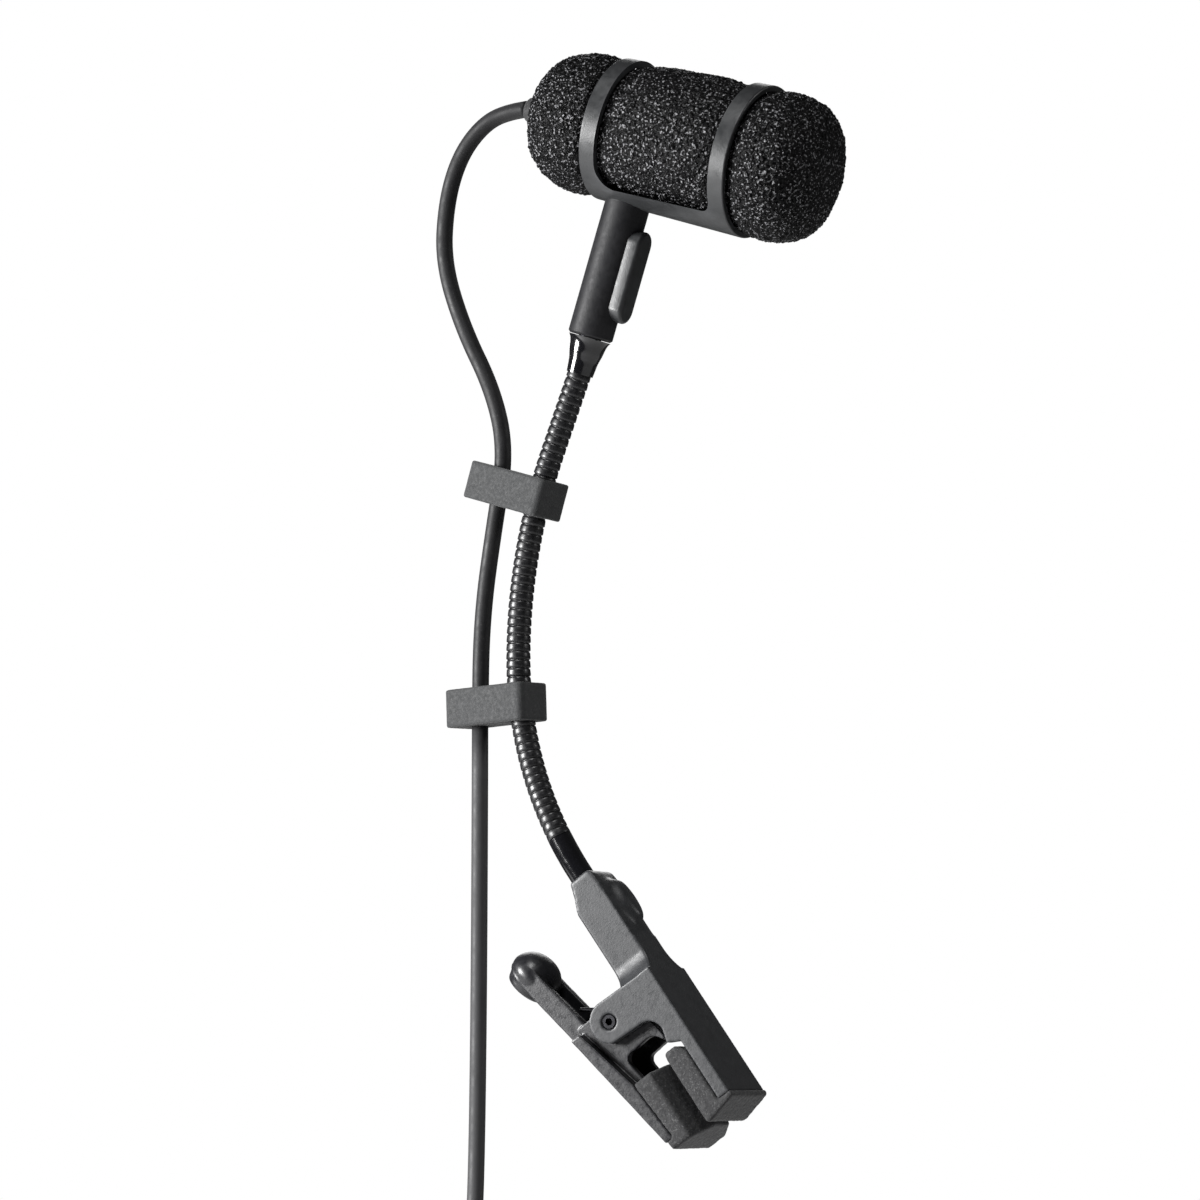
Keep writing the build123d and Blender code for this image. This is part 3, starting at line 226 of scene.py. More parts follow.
def nurbs_curve(name, points):
    """A smooth open curve that has points as its control points."""
    data = bpy.data.curves.new(name, "CURVE")
    data.dimensions = "3D"
    data.resolution_u = 12
    spline = data.splines.new("NURBS")
    spline.points.add(len(points) - 1)
    for control, point in zip(spline.points, points):
        control.co = (*point, 1.0)
    spline.order_u = 3
    spline.use_endpoint_u = True
    curve = bpy.data.objects.new(name, data)
    bpy.context.scene.collection.objects.link(curve)
    return curve


def centreline_of(points):
    """The smooth line that the route's NURBS spline makes."""
    curve = nurbs_curve("route", points)
    bpy.context.view_layer.update()
    mesh = bpy.data.meshes.new_from_object(curve)
    line = [vertex.co.copy() for vertex in mesh.vertices]
    bpy.data.objects.remove(curve)
    return line


# ------------------------------------------------------------------ the lead
LEAD_RADIUS = 1.6
CLIP_YAW = math.radians(17.0)
CLIP_PITCH = 10.7
CLIP_HALF_HEIGHT = 3.6
UPPER_CLIP_Z, LOWER_CLIP_Z = 98.7, 60.0
LOWER_CLIP_LEAN = math.radians(-2.0)
GAP = 0.3


def clip_hole(z, lean):
    """Where the lead passes a cable clip, and that clip's up direction."""
    x, _ = neck_at(neck_tilt(z))
    up = Vector((math.sin(lean), 0, math.cos(lean)))
    to_lead = Matrix.Rotation(-CLIP_YAW, 3, up) @ Vector((-math.cos(lean), 0, math.sin(lean)))
    return from_pin(x, z) + to_lead * CLIP_PITCH * MM, up


UPPER_LEAD, _ = clip_hole(UPPER_CLIP_Z, neck_tilt(UPPER_CLIP_Z))
LOWER_LEAD, LOWER_UP = clip_hole(LOWER_CLIP_Z, LOWER_CLIP_LEAN)
EXIT = HEAD_ORIGIN + FORWARD * (BOOT_END - GAP) * MM
ABOVE_LOWER = LOWER_LEAD + Vector((0, 0, 6.0)) * MM
BELOW_LOWER = LOWER_LEAD - LOWER_UP * CLIP_HALF_HEIGHT * MM

TOP_ROUTE = [
    EXIT, from_pin(-26.3, 173.1, 0.1), from_pin(-31.6, 170.3, 0.3), from_pin(-36.1, 164.8, 0.6),
    from_pin(-38.9, 156.6, 1.0), from_pin(-39.8, 145.4, 1.5), from_pin(-35.7, 132.4, 2.0),
    from_pin(-29.5, 120.2, 2.5), from_pin(-26.9, 108.6, 2.9), UPPER_LEAD,
]
CLIPPED_ROUTE = [
    UPPER_LEAD, from_pin(-30.4, 88.5, 3.1), from_pin(-31.9, 77.5, 3.2),
    ABOVE_LOWER, BELOW_LOWER,
]

HANK_FOLD = 9.6
HANK_LAYERS, HANK_COLUMNS = 2, 4
HANK_RUN = 57.4
HANK_TOP = -41.0
HANK_OUTER_FOLD = HANK_FOLD + 2 * LEAD_RADIUS * (HANK_LAYERS - 1)
HANK_RADIUS = HANK_OUTER_FOLD + LEAD_RADIUS + 0.2
TAIL_DROP = 24.0
HANK_CENTRE = Vector((
    SWING.x + HANK_OUTER_FOLD * MM, SWING.y, PIN.z + (HANK_TOP - HANK_RADIUS - HANK_RUN / 2) * MM
))
FIRST_COLUMN = -LEAD_RADIUS * (HANK_COLUMNS - 1)


def hank_point(x, y, z):
    """A point given in millimetres from the hank's middle."""
    return HANK_CENTRE + Vector((x, y, z)) * MM


def hank_turns():
    """Control points of the hank: upright turns in columns, in and out through the layers."""
    points = []
    half = HANK_RUN / 2
    last = HANK_COLUMNS * HANK_LAYERS - 1
    layout = []
    for column in range(HANK_COLUMNS):
        layers = range(HANK_LAYERS - 1, -1, -1) if column % 2 == 0 else range(HANK_LAYERS)
        layout += [(column, layer) for layer in layers]
    layout.append((HANK_COLUMNS - 1, HANK_LAYERS))
    spread = 1 / math.cos(math.radians(15))
    for turn, (column, layer) in enumerate(layout[:-1]):
        radius = HANK_FOLD + 2 * LEAD_RADIUS * layer
        depth = FIRST_COLUMN + 2 * LEAD_RADIUS * column
        next_column, next_layer = layout[turn + 1]
        next_radius = HANK_FOLD + 2 * LEAD_RADIUS * next_layer
        next_depth = FIRST_COLUMN + 2 * LEAD_RADIUS * next_column
        for height in (half * 0.5, -half * 0.5):
            points.append(hank_point(-radius, depth, height))
        for step in range(6):
            angle = math.radians(195 + 30 * step)
            points.append(hank_point(
                radius * spread * math.cos(angle), depth, radius * spread * math.sin(angle) - half
            ))
        for height in (-half * 0.5, half * 0.5):
            points.append(hank_point(radius, depth, height))
        for step in range(6):
            angle = math.radians(15 + 30 * step)
            share = (step + 0.5) / 6
            share = share * share * (3 - 2 * share)
            bow = (radius + (next_radius - radius) * share) * spread
            points.append(hank_point(
                bow * math.cos(angle), depth + (next_depth - depth) * share, bow * math.sin(angle) + half
            ))
        if turn == last:
            points.append(hank_point(-next_radius, next_depth, half * 0.5))
    return points


LAST_RUN_X = -HANK_OUTER_FOLD - 2 * LEAD_RADIUS
LAST_COLUMN = -FIRST_COLUMN
RUN_TOP, RUN_BOTTOM = HANK_RUN / 2, -HANK_RUN / 2
HANGING_ROUTE = [
    LOWER_LEAD, Vector((SWING.x, SWING.y, HANK_CENTRE.z + (RUN_TOP + 24) * MM)),
    Vector((SWING.x, SWING.y + FIRST_COLUMN * MM, HANK_CENTRE.z + (RUN_TOP + 8) * MM)),
    *hank_turns(),
    hank_point(LAST_RUN_X, LAST_COLUMN, 0), hank_point(LAST_RUN_X, LAST_COLUMN, RUN_BOTTOM * 0.7),
    hank_point(LAST_RUN_X, LAST_COLUMN, RUN_BOTTOM - TAIL_DROP * 0.4),
    hank_point(LAST_RUN_X, LAST_COLUMN, RUN_BOTTOM - TAIL_DROP),
]

top_line = centreline_of(TOP_ROUTE)
lead_top = tube_along("lead_top_cord", top_line, LEAD_RADIUS * MM)
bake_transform(lead_top)
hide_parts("lead_top")

clipped_line = centreline_of(CLIPPED_ROUTE)
lead_clipped = tube_along("lead_clipped_cord", clipped_line, LEAD_RADIUS * MM)
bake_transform(lead_clipped)
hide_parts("lead_clipped")

hanging_line = centreline_of(HANGING_ROUTE)
lead_hanging = tube_along("lead_hanging_cord", hanging_line, LEAD_RADIUS * MM, 14)
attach(lead_hanging, "lead")
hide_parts("lead_hanging", "lead_hank", "lead_tail")

STRAP_THICKNESS, STRAP_LAP_OUT, STRAP_EDGE, STRAP_WAVE = 1.1 * MM, 0.5 * MM, 0.25 * MM, 0.12 * MM
STRAP_STEPS = 96
STRAP_SQUARENESS = 0.28  # power of a superellipse: 1 is an ellipse, 0 a rectangle
LAP_START, LAP_STOP = 205, 300


def hank_tie():
    """The strap round the hank: a closed band with its end lapped over on the front."""
    low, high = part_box("hank_tie")
    centre = (low + high) / 2
    half = (high - low) / 2

    def band(name, half_x, half_y, half_z, start, stop, skin):
        outline = []
        for i in range(STRAP_STEPS + 1):
            a = math.radians(start + (stop - start) * i / STRAP_STEPS)
            x = math.copysign(abs(math.cos(a)) ** STRAP_SQUARENESS, math.cos(a)) * half_x
            y = math.copysign(abs(math.sin(a)) ** STRAP_SQUARENESS, math.sin(a)) * half_y
            outline.append((x, y, a))
        rings = []
        for x, y, a in outline:
            inward = Vector((-x / half_x, -y / half_y, 0)).normalized() * skin
            wave = STRAP_WAVE * math.sin(a * 5)
            base = centre + Vector((x, y, 0))
            top, bottom = Vector((0, 0, half_z + wave)), Vector((0, 0, -half_z + wave))
            edge = Vector((0, 0, STRAP_EDGE))
            rings.append([
                base + bottom + edge, base + top - edge, base + inward * 0.3 + top,
                base + inward + top - edge, base + inward + bottom + edge,
                base + inward * 0.3 + bottom,
            ])
        return rings_to_mesh(name, rings)

    strap = band("hank_strap", half.x, half.y, half.z, 0, 360, STRAP_THICKNESS)
    lap = band(
        "hank_strap_lap", half.x + STRAP_LAP_OUT, half.y + STRAP_LAP_OUT, half.z * 0.97,
        LAP_START, LAP_STOP, STRAP_THICKNESS * 0.9,
    )
    return strap, lap


strap, strap_lap = hank_tie()
for piece in (strap, strap_lap):
    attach(piece, "lead")
    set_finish(piece, "tie_fabric")
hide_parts("hank_tie")
for piece in (lead_top, lead_clipped, lead_hanging):
    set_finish(piece, "lead_jacket")

# ------------------------------------------------------------------ gooseneck sheath
RING_PITCH = 1.6
GROOVE_DEPTH = 0.26
SAMPLES_PER_RING = (
    (0.00, 1.0), (0.06, 0.85), (0.10, 0.25), (0.16, 0.0), (0.40, 0.03), (0.75, 0.22), (0.88, 0.34),
    (0.95, 0.8),
)  # share of the pitch, share of the groove's depth
NECK_SIDES = 40
FERRULE_LENGTH = 8.0
INTO_FERRULE, PAST_NECK = 0.6, 1.6  # how far the sheath runs on at its two ends
OVER_SPLIT, UNDER_SPLIT = 0.5, 1.0  # and at the cut inside the lower cable clip
NECK_TOP = LOWER_LENGTH + UPPER_LENGTH + NECK_STRAIGHT


def sheath(name, start, stop):
    """The ribbed sheath between two lengths along the neck."""
    rings = []
    first, last = math.ceil(start / RING_PITCH), math.floor(stop / RING_PITCH)
    for ring in range(first, last):
        for share, depth in SAMPLES_PER_RING:
            s = (ring + share) * RING_PITCH
            point, direction = neck_point(s)
            radius = (NECK_RADIUS - GROOVE_DEPTH * depth) * MM
            rings.append(ring_around(point, direction, radius, NECK_SIDES, SIDE))
    point, direction = neck_point(last * RING_PITCH)
    rings.append(ring_around(point, direction, (NECK_RADIUS - GROOVE_DEPTH) * MM, NECK_SIDES, SIDE))
    piece = rings_to_mesh(name, rings)
    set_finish(piece, "neck_sheath")
    return piece


SPLIT = neck_length_at(LOWER_CLIP_Z)  # hidden in the lower cable clip
sheath_lower = sheath("gooseneck_sheath_lower", FERRULE_LENGTH - INTO_FERRULE, SPLIT + OVER_SPLIT)
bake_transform(sheath_lower)
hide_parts("gooseneck_lower")
sheath_upper = sheath("gooseneck_sheath_upper", SPLIT - UNDER_SPLIT, NECK_TOP + PAST_NECK)
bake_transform(sheath_upper)
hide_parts("gooseneck_middle", "gooseneck_upper")

# ------------------------------------------------------------------ foam windscreen
RING_SPACING, RING_WIDTH = 28.0, 3.3
REAR_RING_RADIUS, FRONT_RING_RADIUS, RING_WALL = 13.6, 14.4, 1.3
RIB_HALF_ANGLE = math.radians(33.0)
FOAM_OUTLINE = [  # forward of the rear ring, radius
    (-17.0, 3.0), (-16.8, 5.6), (-15.6, 8.9), (-13.2, 11.3), (-9.8, 12.9), (-6.2, 13.3), (-3.2, 12.9),
    (-1.7, 12.1), (1.7, 12.2), (4.0, 12.9), (9.0, 13.3), (14.0, 13.4), (19.0, 13.5), (24.0, 13.4),
    (26.3, 12.9), (29.7, 12.9), (31.5, 13.7), (34.5, 14.0), (38.0, 13.4), (40.8, 11.9), (42.7, 9.2),
    (43.6, 5.8), (43.8, 2.5),
]
FOAM_STEPS, FOAM_SIDES = 270, 350
WINDOW_BULGE, BULGE_RISE = 1.15, math.radians(14)  # millimetres out, and the angle it rises over
WINDOW_INSET = 0.4
CAGE_REACH = 1.8  # how far past the rings' middles the cage still holds the foam in
FOAM_GAP = 0.15
LUMPS = ((0.2, Vector((0, 0, 0)), 0.22), (0.5, Vector((7, 3, 1)), 0.08))  # per millimetre, place, depth
PORES = ((1.5, Vector((0, 0, 0)), 0.34), (2.6, Vector((2, 9, 4)), 0.22))
PIT_FREQUENCY, PIT_PLACE, PIT_LEVEL, PIT_DEPTH = 1.2, Vector((31, 5, 17)), 0.25, 0.5
LUMPS_UNDER_RING, PRESSED_IN = 0.2, 0.35
OUTWARD_SHARE, ENDWARD_SHARE = 0.9, 0.012


def smooth_outline(outline, count):
    """Points evenly spaced on a smooth line through an outline."""
    dense = []
    for i in range(len(outline) - 1):
        p0, p1 = outline[max(i - 1, 0)], outline[i]
        p2, p3 = outline[i + 1], outline[min(i + 2, len(outline) - 1)]
        for step in range(24):
            t = step / 24
            dense.append([
                0.5 * (
                    2 * b + (c - a) * t + (2 * a - 5 * b + 4 * c - d) * t**2
                    + (3 * b - a - 3 * c + d) * t**3
                )
                for a, b, c, d in zip(p0, p1, p2, p3)
            ])
    dense.append(list(outline[-1]))
    dense = np.array(dense)
    along = np.concatenate([[0], np.cumsum(np.hypot(*np.diff(dense, axis=0).T))])
    even = np.linspace(0, along[-1], count)
    return list(zip(np.interp(even, along, dense[:, 0]), np.interp(even, along, dense[:, 1])))


def cage_radius(x):
    """The cage's outer radius at a distance forward of the rear ring."""
    return REAR_RING_RADIUS + (FRONT_RING_RADIUS - REAR_RING_RADIUS) * x / RING_SPACING


def foam_bulge(x, angle):
    """How much further out the foam stands in the cage's windows; angle is from straight up."""
    middle = RING_SPACING / 2
    half_window = (RING_SPACING - RING_WIDTH) / 2 - WINDOW_INSET
    across_window = max(0.0, 1 - abs((x - middle) / half_window) ** 4)
    from_rib = math.pi - RIB_HALF_ANGLE - abs(angle)
    open_here = min(max(from_rib / BULGE_RISE, 0.0), 1.0)
    return WINDOW_BULGE * across_window * open_here * open_here * (3 - 2 * open_here)


def layered(seat, layers):
    """The sum of noises at a place, each with its own frequency, place and depth."""
    return sum(noise.noise(seat * frequency + place) * depth for frequency, place, depth in layers)


def foam_point(x, radius, angle):
    """A point of the foam, its pores and lumps included."""
    squeezed = radius
    if -CAGE_REACH < x < RING_SPACING + CAGE_REACH:
        limit = cage_radius(x) - RING_WALL - FOAM_GAP
        squeezed = min(radius, limit) + foam_bulge(x, angle)
    outward = HEAD_UP * math.cos(angle) + SIDE * math.sin(angle)
    point = HEAD_ORIGIN + (FORWARD * x + outward * squeezed) * MM
    seat = point / MM
    lumps, pores = layered(seat, LUMPS), layered(seat, PORES)
    pits = max(0.0, noise.noise(seat * PIT_FREQUENCY + PIT_PLACE) - PIT_LEVEL) * PIT_DEPTH
    if abs(x) < RING_WIDTH / 2 or abs(x - RING_SPACING) < RING_WIDTH / 2:
        depth = lumps * LUMPS_UNDER_RING + pores - pits - PRESSED_IN
    else:
        depth = lumps + pores - pits
    endward = FORWARD * (ENDWARD_SHARE * (x - RING_SPACING / 2))
    return point + (outward * OUTWARD_SHARE + endward) * depth * MM


def foam_cover():
    """The foam: an outline turned about the microphone's axis, with real pores."""
    rings = []
    for x, radius in smooth_outline(FOAM_OUTLINE, FOAM_STEPS):
        steps = [2 * math.pi * j / FOAM_SIDES for j in range(FOAM_SIDES)]
        rings.append([foam_point(x, radius, a if a <= math.pi else a - 2 * math.pi) for a in steps])
    return rings_to_mesh("foam_cover", rings)


foam = foam_cover()
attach(foam, "head")
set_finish(foam, "foam")
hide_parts("foam_windscreen")


# ------------------------------------------------------------------ moulded pieces, from the CAD shapes
WELD_DISTANCE = 1e-6
GRAIN_FREQUENCY = 1400  # bumps per metre, about


def moulded(node, voxel, smoothing, body, grain=0.0):
    """A moulding with soft edges: the CAD shape remeshed, relaxed and given grain; sizes in millimetres."""
    mesh = frame["nodes"][node].data.copy()
    piece = link(node + "_moulded", mesh)
    weld = bmesh.new()
    weld.from_mesh(mesh)
    bmesh.ops.remove_doubles(weld, verts=weld.verts, dist=WELD_DISTANCE)
    weld.to_mesh(mesh)
    weld.free()
    remesh = piece.modifiers.new("remesh", "REMESH")
    remesh.mode = "VOXEL"
    remesh.voxel_size = voxel * MM
    relax = piece.modifiers.new("relax", "SMOOTH")
    relax.factor, relax.iterations = 0.5, smoothing
    bpy.context.view_layer.update()
    done = bpy.data.meshes.new_from_object(piece.evaluated_get(bpy.context.evaluated_depsgraph_get()))
    piece.modifiers.clear()
    piece.data = done
    done.polygons.foreach_set("use_smooth", [True] * len(done.polygons))
    done.materials.clear()
    if grain:
        normals = [vertex.normal.copy() for vertex in done.vertices]
        for vertex, normal in zip(done.vertices, normals):
            vertex.co += normal * noise.noise(vertex.co * GRAIN_FREQUENCY) * grain * MM
    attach(piece, body)
    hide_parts(node)
    return piece


pads = [
    moulded("upper_jaw_pad", 0.26, 14, "clip", 0.07), moulded("lower_jaw_pad", 0.26, 14, "lever", 0.07),
]
cable_clips = [
    moulded("upper_cable_clip", 0.24, 4, "neck_upper", 0.02),
    moulded("lower_cable_clip", 0.24, 4, "neck_middle", 0.02),
]
clip_moulding = moulded("clip_body", 0.2, 5, "clip")
lever_moulding = moulded("jaw_lever", 0.2, 4, "lever")
# millimetres from the pin, along the clip and out from its back
DOME_REAR, DOME_FRONT, DOME_FOOT = -25.6, -10.8, 12.1
DOME_ROUNDS = 60
ARM_SHOULDERS = ((-21.5, 5), (-23.0, 7), (-24.5, 10))  # along the clip, rounds of smoothing


def melt(piece, chosen, rounds):
    """Smooth some vertices further: those chosen by their place, in millimetres from the pin."""
    soft = bmesh.new()
    soft.from_mesh(piece.data)
    vertices = [vertex for vertex in soft.verts if chosen((vertex.co - PIN) / MM)]
    for _ in range(rounds):
        bmesh.ops.smooth_vert(
            soft, verts=vertices, factor=0.5, use_axis_x=True, use_axis_y=True, use_axis_z=True
        )
    soft.to_mesh(piece.data)
    soft.free()


melt(
    clip_moulding,
    lambda p: DOME_REAR < p.dot(ALONG) < DOME_FRONT and p.dot(OUT) > DOME_FOOT,
    DOME_ROUNDS,
)
for shoulder, rounds in ARM_SHOULDERS:
    melt(clip_moulding, lambda p: p.dot(ALONG) < shoulder, rounds)
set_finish(clip_moulding, "clip_plastic")
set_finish(lever_moulding, "lever_plastic")
for piece in pads:
    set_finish(piece, "pad_rubber")
for piece in cable_clips:
    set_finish(piece, "cable_clip_rubber")


FLAT_WITHIN, SHARP_ABOVE = math.radians(1.0), math.radians(32.0)


def round_edges(node, width):
    """Soft moulded edges, width millimetres across, on a CAD node, by modifiers only."""
    piece = frame["nodes"][node]
    weld = piece.modifiers.new("weld", "WELD")
    weld.merge_threshold = WELD_DISTANCE
    flat = piece.modifiers.new("flat", "DECIMATE")
    flat.decimate_type = "DISSOLVE"
    flat.angle_limit = FLAT_WITHIN
    bevel = piece.modifiers.new("bevel", "BEVEL")
    bevel.width = width * MM
    bevel.limit_method = "ANGLE"
    bevel.angle_limit = SHARP_ABOVE
    bevel.segments = 3
    bevel.use_clamp_overlap = False
    bevel.harden_normals = True
    piece.data.polygons.foreach_set("use_smooth", [True] * len(piece.data.polygons))


for name, width in (("sleeve_grip_bar", 0.12), ("connector_latch", 0.1)):
    round_edges(name, width)


# ------------------------------------------------------------------ materials
# how pale the sharp edges get at most: rubbed edges and a painted edge highlight
EDGE_WEAR_AND_HIGHLIGHT = 0.35


class Shader:
    """One node material, built up a layer at a time from coordinates in metres."""

    def __init__(self, name, colour, roughness, metallic=0.0, specular=0.5):
        self.material = bpy.data.materials.new(name)
        self.material.use_nodes = True
        self.nodes = self.material.node_tree.nodes
        self.links = self.material.node_tree.links
        self.surface = self.nodes["Principled BSDF"]
        self.surface.inputs["Metallic"].default_value = metallic
        self.surface.inputs["Specular IOR Level"].default_value = specular
        self.surface.inputs["Base Color"].default_value = (*colour, 1)
        self.surface.inputs["Roughness"].default_value = roughness
        self.place = self.nodes.new("ShaderNodeTexCoord").outputs["Object"]
        self.normal = None

    def stretched(self, scale, turn=(0, 0, 0)):
        """The coordinates, stretched by a factor on each axis after a turn."""
        mapping = self.nodes.new("ShaderNodeMapping")
        mapping.inputs["Scale"].default_value = scale
        mapping.inputs["Rotation"].default_value = turn
        self.links.new(self.place, mapping.inputs["Vector"])
        return mapping.outputs["Vector"]

    def noise(self, size, detail=3.0, roughness=0.55, place=None):
        """Noise whose features are about size millimetres."""
        texture = self.nodes.new("ShaderNodeTexNoise")
        texture.inputs["Scale"].default_value = 1 / (size * MM)
        texture.inputs["Detail"].default_value = detail
        texture.inputs["Roughness"].default_value = roughness
        self.links.new(place or self.place, texture.inputs["Vector"])
        return texture.outputs["Fac"]

    def cells(self, size, feature="F1"):
        """Distance to the nearest of scattered points, size millimetres apart."""
        texture = self.nodes.new("ShaderNodeTexVoronoi")
        texture.feature = feature
        texture.inputs["Scale"].default_value = 1 / (size * MM)
        self.links.new(self.place, texture.inputs["Vector"])
        return texture.outputs["Distance"]

    def ranged(self, value, low, high, out_low=0.0, out_high=1.0):
        """A value spread from one range to another and clamped."""
        node = self.nodes.new("ShaderNodeMapRange")
        for name, number in zip(("From Min", "From Max", "To Min", "To Max"), (low, high, out_low, out_high)):
            node.inputs[name].default_value = number
        self.links.new(value, node.inputs["Value"])
        return node.outputs["Result"]

    def tint(self, factor, colour):
        """Mix the base colour towards another by a factor."""
        mix = self.nodes.new("ShaderNodeMix")
        mix.data_type = "RGBA"
        socket = self.surface.inputs["Base Color"]
        if socket.is_linked:
            self.links.new(socket.links[0].from_socket, mix.inputs[6])
        else:
            mix.inputs[6].default_value = tuple(socket.default_value)
        mix.inputs[7].default_value = (*colour, 1)
        self.links.new(factor, mix.inputs[0])
        self.links.new(mix.outputs[2], socket)

    def rough(self, factor, low, high):
        """Roughness that varies with a factor."""
        self.links.new(self.ranged(factor, 0.3, 0.7, low, high), self.surface.inputs["Roughness"])

    def bump(self, height, depth, strength=1.0):
        """Relief of depth millimetres."""
        node = self.nodes.new("ShaderNodeBump")
        node.inputs["Strength"].default_value = strength
        node.inputs["Distance"].default_value = depth * MM
        self.links.new(height, node.inputs["Height"])
        if self.normal is not None:
            self.links.new(self.normal, node.inputs["Normal"])
        self.normal = node.outputs["Normal"]
        self.links.new(self.normal, self.surface.inputs["Normal"])

    def edge_wear_and_highlight(self, colour):
        """Lighter colour on sharp edges, broken up by noise: partly rubbed edges, partly a painted edge highlight.
        """
        geometry = self.nodes.new("ShaderNodeNewGeometry")
        edge = self.ranged(geometry.outputs["Pointiness"], 0.53, 0.60)
        broken = self.nodes.new("ShaderNodeMath")
        broken.operation = "MULTIPLY"
        self.links.new(edge, broken.inputs[0])
        self.links.new(self.ranged(self.noise(0.8), 0.30, 0.5, 0.1, EDGE_WEAR_AND_HIGHLIGHT), broken.inputs[1])
        self.tint(broken.outputs[0], colour)

    def coat(self, weight, roughness):
        """A clear layer on top."""
        self.surface.inputs["Coat Weight"].default_value = weight
        self.surface.inputs["Coat Roughness"].default_value = roughness


def moulded_plastic(name, colour, light, roughness, grain=0.35, specular=0.5):
    """Satin moulded plastic: fine spark-eroded grain, slight mottling, and paler sharp edges that are partly
    rubbed and partly a painted edge highlight.
    """
    shader = Shader(name, colour, roughness, specular=specular)
    shader.tint(shader.ranged(shader.noise(2.2), 0.3, 0.7, 0.0, 0.5), light)
    shader.rough(shader.noise(1.1), roughness - 0.07, roughness + 0.1)
    shader.bump(shader.noise(grain, 2.0), 0.03, 0.7)
    shader.bump(shader.noise(4.0, 1.0), 0.05, 0.25)
    # paler sharp edges: rubbed edges and a painted edge highlight
    shader.edge_wear_and_highlight(tuple(min(1.0, c * 2.6) for c in light))
    return shader.material


def speckled_rubber(name, colour, light, fleck):
    """Dull rubber with a fine toothed skin and pale flecks."""
    shader = Shader(name, colour, 0.75, specular=0.35)
    shader.tint(shader.ranged(shader.noise(1.6), 0.3, 0.7, 0.0, 0.6), light)
    shader.tint(shader.ranged(shader.noise(0.28, 1.0), 0.62, 0.72, 0.0, 0.55), fleck)
    shader.rough(shader.noise(0.6), 0.62, 0.85)
    shader.bump(shader.noise(0.3, 2.0), 0.06, 0.9)
    shader.surface.inputs["Sheen Weight"].default_value = 0.15
    return shader.material


def gloss_black(name, colour, roughness):
    """Deep lacquer with faint orange peel and smears in the gloss."""
    shader = Shader(name, colour, roughness)
    shader.tint(shader.ranged(shader.noise(3.0), 0.3, 0.7, 0.0, 0.4), tuple(c * 1.8 for c in colour))
    shader.rough(shader.noise(1.7, 4.0), roughness, roughness + 0.12)
    shader.bump(shader.noise(0.9, 1.0), 0.006, 0.5)
    shader.coat(0.6, 0.06)
    return shader.material


def ribbed_sheath():
    """Semi-gloss black neck: slightly worn crests and specks of dust."""
    shader = Shader("neck_sheath_look", (0.004, 0.004, 0.005), 0.26)
    geometry = shader.nodes.new("ShaderNodeNewGeometry")
    crest = shader.ranged(geometry.outputs["Pointiness"], 0.52, 0.62, 0.0, 0.75)
    shader.tint(crest, (0.03, 0.03, 0.033))
    shader.tint(shader.ranged(shader.noise(0.5), 0.58, 0.75, 0.0, 0.35), (0.05, 0.05, 0.05))
    shader.rough(shader.noise(0.7), 0.28, 0.5)
    shader.bump(shader.noise(0.35, 2.0), 0.02, 0.5)
    shader.coat(0.12, 0.15)
    return shader.material


PAINTED_LIGHT_FALL = 12 * MM  # the fall over which the lead below the lower cable clip turns paler: painted light


def lead_jacket():
    """Matte round jacket with specks of dust; painted light makes it paler where it hangs below the lower cable
    clip.
    """
    shader = Shader("lead_jacket_look", (0.005, 0.005, 0.006), 0.5, specular=0.3)
    shader.tint(shader.ranged(shader.noise(6.0), 0.3, 0.7, 0.0, 0.7), (0.009, 0.009, 0.010))
    height = shader.nodes.new("ShaderNodeSeparateXYZ")
    shader.links.new(shader.place, height.inputs["Vector"])
    # painted light: paler colour on the lead below the lower cable clip, standing in for the light that falls
    # there
    hanging = shader.ranged(height.outputs["Z"], LOWER_LEAD.z, LOWER_LEAD.z - PAINTED_LIGHT_FALL, 0.0, 0.8)
    shader.tint(hanging, (0.05, 0.05, 0.052))
    shader.tint(shader.ranged(shader.noise(0.35, 1.0), 0.66, 0.76, 0.0, 0.4), (0.06, 0.06, 0.06))
    shader.rough(shader.noise(2.0), 0.46, 0.66)
    shader.bump(shader.noise(0.5, 3.0), 0.02, 0.5)
    shader.surface.inputs["Sheen Weight"].default_value = 0.1
    return shader.material


def open_foam():
    """Charcoal foam: painted shade darkens the pores between paler struts, and a few cell walls get a pale painted
    highlight in their colour and a glossier surface.
    """
    shader = Shader("foam_look", (0.0018, 0.0018, 0.0020), 0.4, specular=0.12)
    struts = shader.cells(0.9, "DISTANCE_TO_EDGE")
    # painted shade: the colour is darker in the pores, away from the struts
    shader.tint(shader.ranged(struts, 0.0, 0.10, 0.8, 0.0), (0.006, 0.006, 0.0065))
    # painted highlight: a few cell walls get a pale colour in place of highlights, and more specular as well
    painted_highlight_mask = shader.ranged(shader.noise(0.5, 1.0, 0.6), 0.60, 0.66, 0.0, 0.9)
    shader.tint(painted_highlight_mask, (0.16, 0.16, 0.17))
    shader.links.new(shader.ranged(painted_highlight_mask, 0.0, 0.9, 0.10, 0.9), shader.surface.inputs["Specular IOR Level"])
    shader.rough(shader.noise(0.5), 0.22, 0.6)
    shader.bump(struts, 0.5, 1.0)
    shader.bump(shader.noise(0.5, 2.0), 0.35, 1.0)
    return shader.material


def brushed_metal(name, colour, roughness):
    """Metal with fine lines turned round the upright axis."""
    shader = Shader(name, colour, roughness, metallic=1.0)
    lines = shader.noise(1.2, 3.0, place=shader.stretched((1, 1, 30)))
    shader.tint(shader.ranged(lines, 0.35, 0.65, 0.0, 0.5), tuple(c * 0.7 for c in colour))
    shader.rough(lines, roughness - 0.06, roughness + 0.14)
    shader.bump(lines, 0.01, 0.5)
    return shader.material


